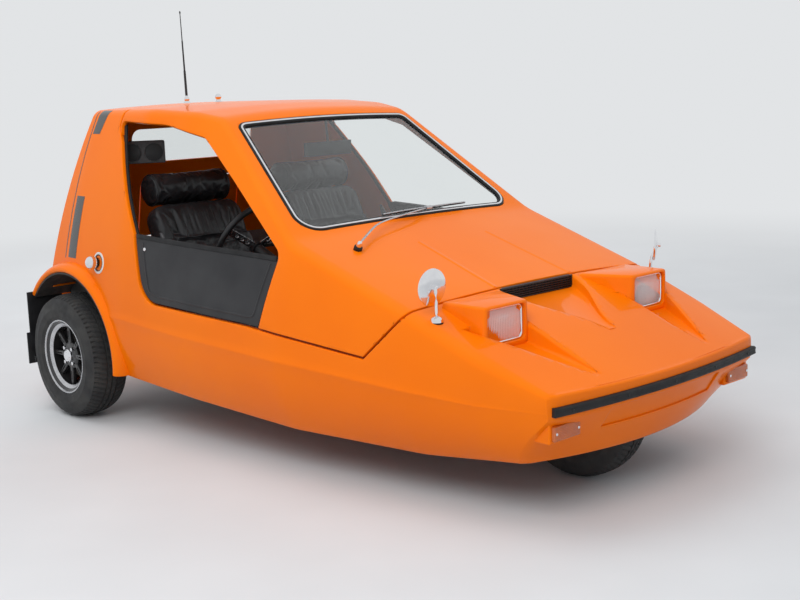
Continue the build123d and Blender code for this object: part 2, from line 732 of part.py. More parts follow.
for name, side in (("wing_mirror_right", -1), ("wing_mirror_left", 1)):
    foot = Vector(MIRROR_AT[0], side * MIRROR_AT[1], MIRROR_AT[2])
    knee = foot + Vector(4, side * 4, 70)
    head = foot + Vector(-18, -side * 4, 92)
    body = rod(foot - Vector(0, 0, 30), foot + Vector(0, 0, 8), 19)
    body += rod(foot, knee, 6) + rod(knee, head, 6) + Pos(*knee) * Sphere(6.2)
    face = Plane(origin=head, z_dir=(-1, 0, 0.05))
    disc = face * Cylinder(MIRROR_R, 8)
    add(name, (body + disc) - fixed_skin)

# Front lamps, strip and indicators
for name, side in (("headlamp_right", -1), ("headlamp_left", 1)):
    y = side * POD_Y
    shell_back = loft([
        Pos(LAMP_X - LAMP_DEPTH, y, LAMP_Z) * Rot(0, 90, 0) * RectangleRounded(60, 90, 14),
        Pos(LAMP_X - 16, y, LAMP_Z) * Rot(0, 90, 0) * RectangleRounded(LAMP_H - 4, LAMP_W - 4, 14),
    ], ruled=True)
    lens = Pos(LAMP_X - 16, y, LAMP_Z) * Rot(0, 90, 0) * extrude(
        RectangleRounded(LAMP_H, LAMP_W, 16), amount=16)
    add(name, shell_back + lens)

strip = nose_band(-STRIP_PROUD, STRIP_Z) - nose_band(0, STRIP_Z)
add("bumper_strip", strip)

indicators = None
for side in (1, -1):
    block = box(NOSE_X - 120, NOSE_X - 59, side * 436 - 60, side * 436 + 60, 266, 316) - fixed_skin
    indicators = block if indicators is None else indicators + block
add("front_indicators", indicators)

grille = box(GRILLE_X, GRILLE_X + GRILLE_THICK, -GRILLE_HALF, GRILLE_HALF, GRILLE_FOOT_Z, GRILLE_TOP_Z)
pitch = (GRILLE_TOP_Z - GRILLE_FOOT_Z - 4) / GRILLE_SLOTS
for row in range(GRILLE_SLOTS):
    z = GRILLE_FOOT_Z + 4 + row * pitch
    for x_side in (-1, 1):
        y0, y1 = sorted((x_side * 4, x_side * (GRILLE_HALF - 8)))
        grille -= box(GRILLE_X - 1, GRILLE_X + GRILLE_THICK + 1, y0, y1, z, z + pitch - 4)
add("grille", grille)

# Roof fittings, filler, rear window, boot lid and rear lamps
knob = Pos(-810, 0, 1186) * Cylinder(14, 16, align=(Align.CENTER, Align.CENTER, Align.MIN))
knob += Pos(-810, 0, 1208) * Sphere(13)
add("roof_knob", knob - fixed_skin)
aerial = Pos(-905, -88, 1184) * Cylinder(15, 14, align=(Align.CENTER, Align.CENTER, Align.MIN))
aerial += Pos(-905, -88, 1204) * Sphere(11)
mast = Plane(origin=(-905, -88, 1204), z_dir=(-0.035, 0, 1)) * Cone(
    5, 2, AERIAL_LENGTH, align=(Align.CENTER, Align.CENTER, Align.MIN))
add("aerial", aerial + mast - fixed_skin)

filler = rod((-716, -600, 616), (-716, -664, 616), 34)
filler += rod((-716, -664, 616), (-716, -690, 616), 22) + Pos(-716, -690, 616) * Sphere(24)
add("fuel_filler", filler - fixed_skin)

tail_skin = tail_limit(6) - tail_limit(6 + GLASS)
add("rear_window", tail_skin & tail_prism(REAR_GLASS_HALF, *REAR_GLASS_Z, REAR_GLASS_R, 1) & hull(2))
lid_skin = tail_limit(0) - tail_limit(LID_THICK)
lid = lid_skin & tail_prism(LID_HALF, *LID_Z, LID_R, LID_GAP)
lid_handle = box(tail_x(680) - 26, tail_x(680) + 4, -60, 60, 670, 690)
lid += lid_handle - fixed_skin
pivot_x = tail_x(LID_Z[1] + 3) - 6
pivot_z = LID_Z[1] + 3
leaf_side = [(-4, 0), (2, 0), (2, -10), (12, -12), (12, -24), (-4, -24)]
foot_side = [(-4, -2), (0, -4), (9, 3), (13, 18), (1, 18)]
feet = None
for side in (1, -1):
    y0, y1 = sorted((side * 130, side * 160))
    lid += side_prism([(pivot_x + x, pivot_z + z) for x, z in leaf_side], y0, y1)
    lid += rod((pivot_x, y0, pivot_z), (pivot_x, y1, pivot_z), 5)
    y0, y1 = sorted((side * 160.3, side * 186))
    foot = side_prism([(pivot_x + x, pivot_z + z) for x, z in foot_side], y0, y1)
    foot += rod((pivot_x, y0, pivot_z), (pivot_x, y1, pivot_z), 5)
    feet = foot if feet is None else feet + foot
add("boot_lid", lid)
nodes["rear_body"] += feet - fixed_skin

lamps = None
for side in (1, -1):
    lamp = box(LEDGE_BACK_X - 20, LEDGE_BACK_X, side * 415 - 60, side * 415 + 60, 404, 452)
    lamps = lamp if lamps is None else lamps + lamp
add("tail_lamps", lamps)
bar = box(TAIL_X, LEDGE_BACK_X, -330, 330, 400, 456)
for side in (1, -1):
    hole_y = side * PLATE_HOLE_SPACING / 2
    bar -= rod((TAIL_X - 1, hole_y, 428), (LEDGE_BACK_X + 1, hole_y, 428), PLATE_HOLE_R)
add("rear_bumper", bar)

# Arches, wheel wells and mudflaps
for name, side in (("right", -1), ("left", 1)):
    y0, y1 = sorted((side * 560, side * ARCH_OUT_Y))
    lip = arch_ring(ARCH_R, ARCH_R + ARCH_LIP, y0, y1, -8, 141)
    edge = [e for e in lip.edges() if abs(abs(e.center().Y) - ARCH_OUT_Y) < 0.1
            and e.geom_type == GeomType.CIRCLE and e.radius > ARCH_R + 1]
    lip = chamfer(edge, 26, 22) if edge else lip
    add("rear_arch_" + name, lip - fixed_skin)
    y0, y1 = sorted((side * WELL_IN_Y, side * (ARCH_OUT_Y - 6)))
    well = arch_ring(ARCH_R - 7, ARCH_R, y0, y1, 2, 141)
    w0, w1 = sorted((side * WELL_IN_Y, side * (WELL_IN_Y + 6)))
    well += arch_ring(60, ARCH_R - 6, w0, w1, 20, 141) & box(-1500, 0, -800, 800, 330, 700)
    add("wheel_well_" + name, well)

flaps = None
for side in (1, -1):
    m0, m1 = sorted((side * (WELL_IN_Y + 40), side * 722))
    flap = box(-1180, -1174, m0, m1, 300, 466)
    m0, m1 = sorted((side * (WELL_IN_Y + 40), side * 736))
    flap += box(-1180, -1174, m0, m1, 178, 304)
    flaps = flap if flaps is None else flaps + flap
add("mudflaps", flaps - nodes["rear_arch_right"] - nodes["rear_arch_left"])

# Cabin: deck, engine cover, seats, dash and column
floor_top = FLOOR_Z + FLOOR_THICK
cover_side = [(60, floor_top), (FOOT_BULKHEAD_X, floor_top), (FOOT_BULKHEAD_X, 556), (250, COVER_TOP_Z),
              (130, COVER_TOP_Z - 40), (60, 392)]
space_side = [(60 + COVER_WALL, 0), (FOOT_BULKHEAD_X + 1, 0), (FOOT_BULKHEAD_X + 1, 556 - COVER_WALL),
              (254, COVER_TOP_Z - COVER_WALL), (136, COVER_TOP_Z - 40 - COVER_WALL), (60 + COVER_WALL, 380)]
cover = side_prism(cover_side, -COVER_HALF, COVER_HALF)
cover += box(SEAT_BULKHEAD_X, 61, -TUNNEL_HALF, TUNNEL_HALF, floor_top, TUNNEL_TOP_Z)
cover -= side_prism(space_side, COVER_WALL - COVER_HALF, COVER_HALF - COVER_WALL)
cover -= box(SEAT_BULKHEAD_X - 1, 80, COVER_WALL - TUNNEL_HALF, TUNNEL_HALF - COVER_WALL, 0,
             TUNNEL_TOP_Z - COVER_WALL)
add("engine_cover", cover)
add("engine_block", side_prism([(ENGINE_X0, 200), (ENGINE_X1, 200), (ENGINE_X1, 500), (290, 510), (ENGINE_X0, 400)],
                               -ENGINE_HALF, ENGINE_HALF)
    + rod((ENGINE_X0, 0, 262), (-40, 0, 262), 48))
deck = box(-1100, SEAT_BULKHEAD_X, -700, 700, DECK_Z, DECK_Z + 12) & hull(WALL)
add("rear_deck", deck)

for name, side in (("right", -1), ("left", 1)):
    add("seat_back_" + name, seat_back(side))
    add("seat_base_" + name, seat_base(side))

dash = side_prism([(236, 590), (300, 590), (330, 640), (330, 700), (262, 706), (226, 650)], -560, 560,
                  [16, 8, 8, 8, 20, 20])
dash = dash & hull(WALL + 8)
dash += side_prism([(252, COVER_TOP_Z), (300, COVER_TOP_Z), (296, 592), (256, 592)], -70, 70)
add("dash", dash - nodes["engine_cover"])

wheel_at = Vector(*STEER_WHEEL_AT)
tilt = math.radians(COLUMN_TILT)
column_axis = Vector(-math.cos(tilt), 0, math.sin(tilt))
steer_plane = Plane(origin=wheel_at, x_dir=(0, 1, 0), z_dir=column_axis)
wheel_ring = steer_plane * Torus(STEER_WHEEL_R, 11)
boss = steer_plane * Cylinder(26, 30)
arms = None
for angle in (90, 210, 330):
    spoke = steer_plane * Rot(0, 0, angle) * Pos(STEER_WHEEL_R / 2, 0, 0) * Box(STEER_WHEEL_R - 6, 26, 4)
    arms = spoke if arms is None else arms + spoke
add("steering_wheel", wheel_ring + boss + arms)
reach = (FOOT_BULKHEAD_X - wheel_at.X) / math.cos(tilt)
column = rod(wheel_at - column_axis * 15.3, wheel_at - column_axis * (reach + 20), 20)
column += box(258, 278, wheel_at.Y - 10, wheel_at.Y + 10, 470, 590)
add("steering_column", column & box(-400, FOOT_BULKHEAD_X, -500, 0, 0, 900))

speakers = Pos(-800, -380, 1010) * Rot(0, 0, -32) * Box(60, 170, 86)
add("speaker_box", speakers & hull(WALL) & tail_limit(WALL))

# Chassis, axle and suspension
chassis = None
for side in (1, -1):
    y0, y1 = sorted((side * (RAIL_Y - RAIL_W / 2), side * (RAIL_Y + RAIL_W / 2)))
    rail = side_prism(RAIL_SIDE, y0, y1)
    chassis = rail if chassis is None else chassis + rail
for x in CROSS_MEMBERS:
    chassis += box(x - 25, x + 25, -RAIL_Y, RAIL_Y, RAIL_TOP_Z - 60, RAIL_TOP_Z - 24)
tower = box(FOOT_BULKHEAD_X + BULKHEAD_THICK, 880, 206, 240, SPRING_TOP_Z, SPRING_TOP_Z + 10)
tower += box(FOOT_BULKHEAD_X + BULKHEAD_THICK, 670, 206, 240, RAIL_TOP_Z - 30, SPRING_TOP_Z)
chassis += tower + brackets
chassis += box(-1100, -1050, -RAIL_Y, RAIL_Y, 360, 410)
add("chassis_frame", chassis)

stub_y = REAR_WHEEL_Y + SPOKE_SET - 16.3
axle = rod((REAR_AXLE_X, -stub_y, REAR_TYRE_R), (REAR_AXLE_X, stub_y, REAR_TYRE_R), 30)
axle += Pos(REAR_AXLE_X, 0, REAR_TYRE_R) * Sphere(98)
axle += rod((REAR_AXLE_X, 0, REAR_TYRE_R), (REAR_AXLE_X + 170, 0, REAR_TYRE_R + 6), 34)
for side in (1, -1):
    drum_in = (REAR_AXLE_X, side * (DRUM_HALF - 60), REAR_TYRE_R)
    axle += rod(drum_in, (REAR_AXLE_X, side * DRUM_HALF, REAR_TYRE_R), 92)
add("rear_axle", axle)
shaft = rod((-46, 0, 262), (REAR_AXLE_X + 166, 0, REAR_TYRE_R + 6), 24)
add("propshaft", shaft - nodes["engine_block"] - axle)
springs = None
links = None
for side in (1, -1):
    y = side * SPRING_Y
    spring = rod((REAR_AXLE_X, y, REAR_TYRE_R + 30), (REAR_AXLE_X + 26, y, DECK_Z + 20), 40)
    link = rod((REAR_AXLE_X + 28, y, 222), (-560, y, 206), 15)
    link += box(-578, -542, y - 14, y + 14, 196, FLOOR_Z)
    springs = spring if springs is None else springs + spring
    links = link if links is None else links + link
add("rear_springs", (springs & box(-1200, 0, -800, 800, 0, DECK_Z)) - axle)
add("trailing_arms", links - axle)

exhaust = rod((-640, 120, 150), (ENGINE_X0 + 60, 120, 150), 20)
exhaust += rod((-640, 120, 150), (-700, 170, 152), 20) + Pos(-640, 120, 150) * Sphere(20)
exhaust += rod((ENGINE_X0 + 60, 120, 150), (ENGINE_X0 + 60, 120, 200), 20)
add("exhaust", exhaust + rod((-450, 120, 150), (-150, 120, 150), 34))

for name, side in (("right", -1), ("left", 1)):
    wheel = rim(RIM_R, REAR_TYRE_W - 20, 0, 1)
    rubber = tyre(REAR_TYRE_R, REAR_TYRE_W, RIM_R)
    turn = Rot(0, 0, 0) if side > 0 else Rot(0, 0, 180)
    place = Pos(REAR_AXLE_X, side * REAR_WHEEL_Y, REAR_TYRE_R) * turn
    add("rear_rim_" + name, place * wheel)
    add("rear_tyre_" + name, place * rubber)
place = Pos(FRONT_AXLE_X, 0, FRONT_TYRE_R) * Rot(0, 0, 180)
add("front_rim", place * rim(RIM_R, FRONT_TYRE_W - 24, 0, 1))
add("front_tyre", place * tyre(FRONT_TYRE_R, FRONT_TYRE_W, RIM_R))

pin_z = (FRONT_TYRE_R - 60, FRONT_TYRE_R + 60)
kingpin = rod((FRONT_AXLE_X, KINGPIN_Y, pin_z[0]), (FRONT_AXLE_X, KINGPIN_Y, pin_z[1]), 13)
hub_face_y = 16.3 - SPOKE_SET
stub = rod((FRONT_AXLE_X, KINGPIN_Y, FRONT_TYRE_R), (FRONT_AXLE_X, hub_face_y, FRONT_TYRE_R), 15)
lever = box(FRONT_AXLE_X - 90, FRONT_AXLE_X, KINGPIN_Y - 7, KINGPIN_Y + 7, FRONT_TYRE_R - 7, FRONT_TYRE_R + 7)
lever += box(FRONT_AXLE_X - 98, FRONT_AXLE_X - 84, KINGPIN_Y - 7, KINGPIN_Y + 30, FRONT_TYRE_R - 7,
             FRONT_TYRE_R + 7)
add("front_knuckle", kingpin + stub + lever)

arm_y = KINGPIN_Y + 92
arm = rod((FRONT_AXLE_X, arm_y, pin_z[0] - 18), (FRONT_AXLE_X, arm_y, pin_z[1] + 18), 12)
for level in (pin_z[0] - 18.3, pin_z[1] + 0.3):
    arm += box(FRONT_AXLE_X - 16, FRONT_AXLE_X + 16, KINGPIN_Y - 16, arm_y, level, level + 18)
arm += rod((FRONT_AXLE_X, arm_y, 236), (815, 236, 222), 20)
arm += rod((815, 236, 222), (ARM_PIVOT_X, 236, ARM_PIVOT_Z), 20) + Pos(815, 236, 222) * Sphere(20)
arm += rod((ARM_PIVOT_X, -90, ARM_PIVOT_Z), (ARM_PIVOT_X, 262, ARM_PIVOT_Z), 24)
add("front_arm", arm)
strut = rod((900, 200, 230), (856, 222, SPRING_TOP_Z + 30), 30) & box(700, 1000, 0, 400, 0, SPRING_TOP_Z)
add("front_spring", strut - nodes["front_arm"])

for name, shape in nodes.items():
    solids = shape.solids()
    print(name, len(solids), [round(solid.volume / 1e3) for solid in solids][:8], shape.is_valid)
    export_step(shape, f"parts/{name}.step")
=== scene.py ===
"""Looks of a three wheeled car with a lift-up canopy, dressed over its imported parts."""

import logging
import math
from dataclasses import dataclass
from enum import Enum
from functools import cache
from typing import Callable, Sequence

import bmesh
import bpy
from mathutils import Matrix, Vector
from mathutils.bvhtree import BVHTree


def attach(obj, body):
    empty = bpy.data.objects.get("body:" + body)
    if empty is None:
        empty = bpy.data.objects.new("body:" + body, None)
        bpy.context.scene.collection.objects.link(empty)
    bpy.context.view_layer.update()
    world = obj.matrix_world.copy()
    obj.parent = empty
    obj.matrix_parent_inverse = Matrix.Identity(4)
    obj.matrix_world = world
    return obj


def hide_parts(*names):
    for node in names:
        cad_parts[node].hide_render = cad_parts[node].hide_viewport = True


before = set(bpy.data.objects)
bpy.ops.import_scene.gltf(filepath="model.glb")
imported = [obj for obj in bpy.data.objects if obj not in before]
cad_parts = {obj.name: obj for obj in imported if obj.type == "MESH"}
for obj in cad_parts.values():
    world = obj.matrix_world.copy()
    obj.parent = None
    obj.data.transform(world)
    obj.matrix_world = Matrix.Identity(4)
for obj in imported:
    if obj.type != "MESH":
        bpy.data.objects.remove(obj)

LOG = logging.getLogger("three_wheeler")
for stray in ("Cube", "Light", "Camera"):
    if stray in bpy.data.objects:
        bpy.data.objects.remove(bpy.data.objects[stray])
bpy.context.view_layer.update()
# Distances at which points merge, places clear of the car for rays and tools, and the cloth's settings
WELD = 1e-6
CAD_WELD = 1e-5
OVERHEAD = 1.6
ABEAM = 1.2
BESIDE = 0.8
CLOTH_QUALITY = 4
CLOTH_FRAMES = 20

Point2 = tuple[float, float]
Piece = bpy.types.Object


class Side(Enum):
    """The two sides of the car, with the sign of their Y."""

    RIGHT = -1
    LEFT = 1

    @property
    def label(self) -> str:
        """Word used in the names of pieces."""
        return self.name.lower()

    def span(self, inner: float, outer: float) -> list[float]:
        """Two distances from the middle as places on this side, the lower first."""
        return sorted((self.value * inner, self.value * outer))


class Carve(Enum):
    """What a boolean does with its tool."""

    CUT = "DIFFERENCE"
    JOIN = "UNION"
    KEEP = "INTERSECT"


class Body(Enum):
    """The bodies that new pieces ride on."""

    CAR = "car_body"
    CANOPY = "canopy"
    LID = "boot_lid"
    FRONT_WHEEL = "front_wheel"
    REAR_RIGHT = "rear_wheel_right"
    REAR_LEFT = "rear_wheel_left"
    HAND_WHEEL = "steering_wheel"


# Bench work: selecting, placing and shaping


def deselect() -> None:
    """Leave edit mode with nothing selected."""
    if bpy.context.object and bpy.context.object.mode != "OBJECT":
        bpy.ops.object.mode_set(mode="OBJECT")
    bpy.ops.object.select_all(action="DESELECT")


def pick(piece: Piece) -> None:
    """Select one piece and make it active.

    Args:
        piece: the object to work on.
    """
    deselect()
    piece.hide_viewport = False
    piece.select_set(True)
    bpy.context.view_layer.objects.active = piece


def edit_all(piece: Piece) -> None:
    """Open a piece in edit mode with all of it selected."""
    pick(piece)
    bpy.ops.object.mode_set(mode="EDIT")
    bpy.ops.mesh.select_all(action="SELECT")


def settle(piece: Piece) -> None:
    """Leave edit mode and put the piece's place into its mesh."""
    pick(piece)
    bpy.ops.object.transform_apply(location=True, rotation=True, scale=True)


def sheet(name: str, columns: int, rows: int, place: Callable[[int, int], Vector]) -> Piece:
    """Grid of vertices laid on a surface.

    Args:
        name: the piece's name.
        columns: vertices along the first direction.
        rows: vertices along the second direction.
        place: gives the point of a column and row.

    Returns:
        The new piece.
    """
    deselect()
    bpy.ops.mesh.primitive_grid_add(x_subdivisions=columns - 1, y_subdivisions=rows - 1)
    piece = bpy.context.object
    piece.name = name
    spots = [value for row in range(rows) for column in range(columns) for value in place(column, row)]
    piece.data.vertices.foreach_set("co", spots)
    piece.data.update()
    return piece


def weld(piece: Piece) -> None:
    """Merge points that meet and turn the faces outwards."""
    edit_all(piece)
    bpy.ops.mesh.remove_doubles(threshold=WELD)
    bpy.ops.mesh.normals_make_consistent(inside=False)
    deselect()


def pick_rims() -> None:
    """Select only the open edges of the piece in edit mode."""
    bpy.ops.mesh.select_all(action="DESELECT")
    bpy.ops.mesh.select_non_manifold(extend=False, use_wire=False, use_boundary=True,
                                     use_multi_face=False, use_non_contiguous=False, use_verts=False)


def ringed(name: str, rings: Sequence[Sequence[Vector]]) -> Piece:
    """Sheet through rings that closes both round and along."""
    around, count = len(rings[0]), len(rings)
    piece = sheet(name, around + 1, count + 1, lambda i, j: rings[j % count][i % around])
    weld(piece)
    return piece


def listed(name: str, data: bpy.types.ID) -> Piece:
    """New object for a mesh, light or camera, put in the scene."""
    thing = bpy.data.objects.new(name, data)
    bpy.context.scene.collection.objects.link(thing)
    return thing


def coat(piece: Piece, *materials: bpy.types.Material) -> Piece:
    """Give a piece these materials alone."""
    piece.data.materials.clear()
    for material in materials:
        piece.data.materials.append(material)
    return piece


def loft(name: str, rings: Sequence[Sequence[Vector]], caps: bool = True) -> Piece:
    """Closed tube through rings of equal point counts.

    Args:
        name: the piece's name.
        rings: the points of each ring, in order.
        caps: whether the two ends are closed.

    Returns:
        The new piece, with its faces pointing outwards.
    """
    around = len(rings[0])
    piece = sheet(name, around + 1, len(rings), lambda i, j: rings[j][i % around])
    edit_all(piece)
    bpy.ops.mesh.remove_doubles(threshold=WELD)
    if caps:
        pick_rims()
        bpy.ops.mesh.fill_holes(sides=0)
    bpy.ops.mesh.select_all(action="SELECT")
    bpy.ops.mesh.normals_make_consistent(inside=False)
    deselect()
    return piece


def side_prism(name: str, outline: Sequence[Point2], y0: float, y1: float) -> Piece:
    """Outline in the side view, drawn as (x, z), pushed across the car."""
    return loft(name, [[Vector((x, y, z)) for x, z in outline] for y in (y0, y1)])


def front_prism(name: str, outline: Sequence[Point2], x0: float, x1: float) -> Piece:
    """Outline in the front view, drawn as (y, z), pushed along the car."""
    return loft(name, [[Vector((x, y, z)) for y, z in outline] for x in (x0, x1)])


def block(name: str, low: Sequence[float], high: Sequence[float]) -> Piece:
    """Plain block between two corners, used as a tool or a start."""
    deselect()
    middle = [(a + b) / 2 for a, b in zip(low, high)]
    bpy.ops.mesh.primitive_cube_add(size=1, location=middle)
    piece = bpy.context.object
    piece.name = name
    piece.scale = [b - a for a, b in zip(low, high)]
    settle(piece)
    return piece


def drum(name: str, start: Sequence[float], end: Sequence[float], radius: float,
         tip: float | None = None, sides: int = 48) -> Piece:
    """Round bar or cone between two points.

    Args:
        name: the piece's name.
        start: centre of one end.
        end: centre of the other end.
        radius: radius at the start.
        tip: radius at the end, the same as the start's if left out.
        sides: faces round the bar.

    Returns:
        The new piece.
    """
    a, b = Vector(start), Vector(end)
    deselect()
    bpy.ops.mesh.primitive_cone_add(vertices=sides, radius1=radius, radius2=radius if tip is None else tip,
                                    depth=(b - a).length, location=(a + b) / 2,
                                    rotation=(b - a).to_track_quat("Z", "Y").to_euler())
    piece = bpy.context.object
    piece.name = name
    settle(piece)
    return piece


def unit_circle(steps: int) -> list[Point2]:
    """Evenly spaced places round a circle of radius 1, as (cos, sin)."""
    angles = [2 * math.pi * step / steps for step in range(steps)]
    return [(math.cos(angle), math.sin(angle)) for angle in angles]


def turned(name: str, profile: Sequence[Point2], centre: Sequence[float], axis: Sequence[float],
           steps: int = 64) -> Piece:
    """Closed profile spun about an axis.

    Args:
        name: the piece's name.
        profile: points as (along the axis, radius), round the solid part.
        centre: where the profile's zero is.
        axis: direction of the axis.
        steps: segments round the circle.

    Returns:
        The new piece.
    """
    turn = Vector(axis).normalized().to_track_quat("Z", "Y").to_matrix()
    base = Vector(centre)
    rings = []
    for cos, sin in unit_circle(steps):
        out = turn @ Vector((cos, sin, 0))
        rings.append([base + turn @ Vector((0, 0, along)) + out * radius for along, radius in profile])
    return ringed(name, rings)


def pipe(name: str, points: Sequence[Sequence[float]], radius: float, sides: int = 12,
         flat: float = 1.0) -> Piece:
    """Smooth bar along a few points.

    Args:
        name: the piece's name.
        points: centre line, in order.
        radius: half the bar's width.
        sides: faces round the bar.
        flat: how thick the bar is against its width.

    Returns:
        The new piece.
    """
    line = [Vector(p) for p in points]
    rings = []
    for index, spot in enumerate(line):
        ahead = line[min(index + 1, len(line) - 1)] - line[max(index - 1, 0)]
        turn = ahead.to_track_quat("Z", "Y").to_matrix()
        rings.append([spot + turn @ Vector((radius * cos, radius * flat * sin, 0)) for cos, sin in unit_circle(sides)])
    return loft(name, rings)


def carve(piece: Piece, tool: Piece, how: Carve, keep_tool: bool = False) -> None:
    """Cut, join or keep with another solid.

    Args:
        piece: the solid that changes.
        tool: the other solid.
        how: what is done with it.
        keep_tool: whether the tool stays in the scene.
    """
    pick(piece)
    change = piece.modifiers.new("carve", "BOOLEAN")
    change.operation = how.value
    change.object = tool
    change.solver = "EXACT"
    change.material_mode = "TRANSFER"
    bpy.ops.object.modifier_apply(modifier=change.name)
    if not keep_tool:
        bpy.data.objects.remove(tool)


def duplicate(piece: Piece, name: str) -> Piece:
    """Copy with a mesh of its own."""
    copy = piece.copy()
    copy.data = piece.data.copy()
    copy.name = name
    bpy.context.scene.collection.objects.link(copy)
    return copy


def cad_copy(node: str, name: str) -> Piece:
    """Copy of a CAD node with its seams closed, left in edit mode."""
    piece = listed(name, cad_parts[node].data.copy())
    edit_all(piece)
    bpy.ops.mesh.remove_doubles(threshold=CAD_WELD)
    bpy.ops.mesh.customdata_custom_splitnormals_clear()
    return piece


def mirrored(piece: Piece, name: str) -> Piece:
    """The same piece on the other side of the car."""
    copy = duplicate(piece, name)
    copy.data.transform(Matrix.Scale(-1, 4, Vector((0, 1, 0))))
    edit_all(copy)
    bpy.ops.mesh.flip_normals()
    deselect()
    return copy


def joined(name: str, pieces: Sequence[Piece]) -> Piece:
    """Several pieces as one object."""
    deselect()
    for piece in pieces:
        piece.select_set(True)
    bpy.context.view_layer.objects.active = pieces[0]
    bpy.ops.object.join()
    pieces[0].name = name
    return pieces[0]


def modify(piece: Piece, kind: str, **values: object) -> None:
    """Add one modifier, set it and apply it.

    Args:
        piece: the object to change.
        kind: the modifier's type.
        values: its settings.
    """
    pick(piece)
    change = piece.modifiers.new(kind.lower(), kind)
    for key, value in values.items():
        setattr(change, key, value)
    bpy.ops.object.modifier_apply(modifier=change.name)


def soften(piece: Piece, radius: float, segments: int = 2, angle: float = 40.0) -> None:
    """Round the edges sharper than an angle."""
    modify(piece, "BEVEL", width=radius, segments=segments, limit_method="ANGLE",
           angle_limit=math.radians(angle), use_clamp_overlap=True)


def smooth(piece: Piece, angle: float = 40.0) -> None:
    """Shade smooth apart from edges sharper than an angle."""
    pick(piece)
    bpy.ops.object.shade_smooth_by_angle(angle=math.radians(angle))


def rounded(points: Sequence[Point2], radii: Sequence[float], steps: int = 8) -> list[Point2]:
    """Closed outline with an arc at each corner.

    Args:
        points: the corners, in order.
        radii: the arc's radius at each corner.
        steps: segments in each arc.

    Returns:
        The outline's points.
    """
    out: list[Point2] = []
    count = len(points)
    for index, corner in enumerate(points):
        middle = Vector(corner)
        back = (Vector(points[index - 1]) - middle).normalized()
        ahead = (Vector(points[(index + 1) % count]) - middle).normalized()
        half = back.angle(ahead) / 2
        radius = radii[index]
        if radius <= 0 or abs(half - math.pi / 2) < 1e-3:
            out.append((middle.x, middle.y))
            continue
        reach = radius / math.tan(half)
        centre = middle + (back + ahead).normalized() * (radius / math.sin(half))
        first = middle + back * reach - centre
        last = middle + ahead * reach - centre
        sweep = math.atan2(first.x * last.y - first.y * last.x, first.dot(last))
        for step in range(steps + 1):
            turn = sweep * step / steps
            cos, sin = math.cos(turn), math.sin(turn)
            out.append((centre.x + cos * first.x - sin * first.y, centre.y + sin * first.x + cos * first.y))
    return out


def round_box(u0: float, v0: float, u1: float, v1: float, radius: float, steps: int = 8) -> list[Point2]:
    """Rectangle between two corners, with the same arc at each corner."""
    return rounded([(u0, v0), (u1, v0), (u1, v1), (u0, v1)], [radius] * 4, steps)


def arc_through(start: Point2, middle: Point2, end: Point2, steps: int) -> list[Vector]:
    """Points along the circle through three points, from start to end."""
    a, b, c = Vector(start), Vector(middle), Vector(end)
    double = 2 * (a.x * (b.y - c.y) + b.x * (c.y - a.y) + c.x * (a.y - b.y))
    if abs(double) < 1e-9:
        return [a.lerp(c, step / steps) for step in range(steps + 1)]
    aa, bb, cc = a.length_squared, b.length_squared, c.length_squared
    centre = Vector((
        (aa * (b.y - c.y) + bb * (c.y - a.y) + cc * (a.y - b.y)) / double,
        (aa * (c.x - b.x) + bb * (a.x - c.x) + cc * (b.x - a.x)) / double,
    ))
    first, last = a - centre, c - centre
    sweep = math.atan2(first.x * last.y - first.y * last.x, first.dot(last))
    spots = []
    for step in range(steps + 1):
        turn = sweep * step / steps
        cos, sin = math.cos(turn), math.sin(turn)
        spots.append(centre + Vector((cos * first.x - sin * first.y, sin * first.x + cos * first.y)))
    return spots


# Finishes


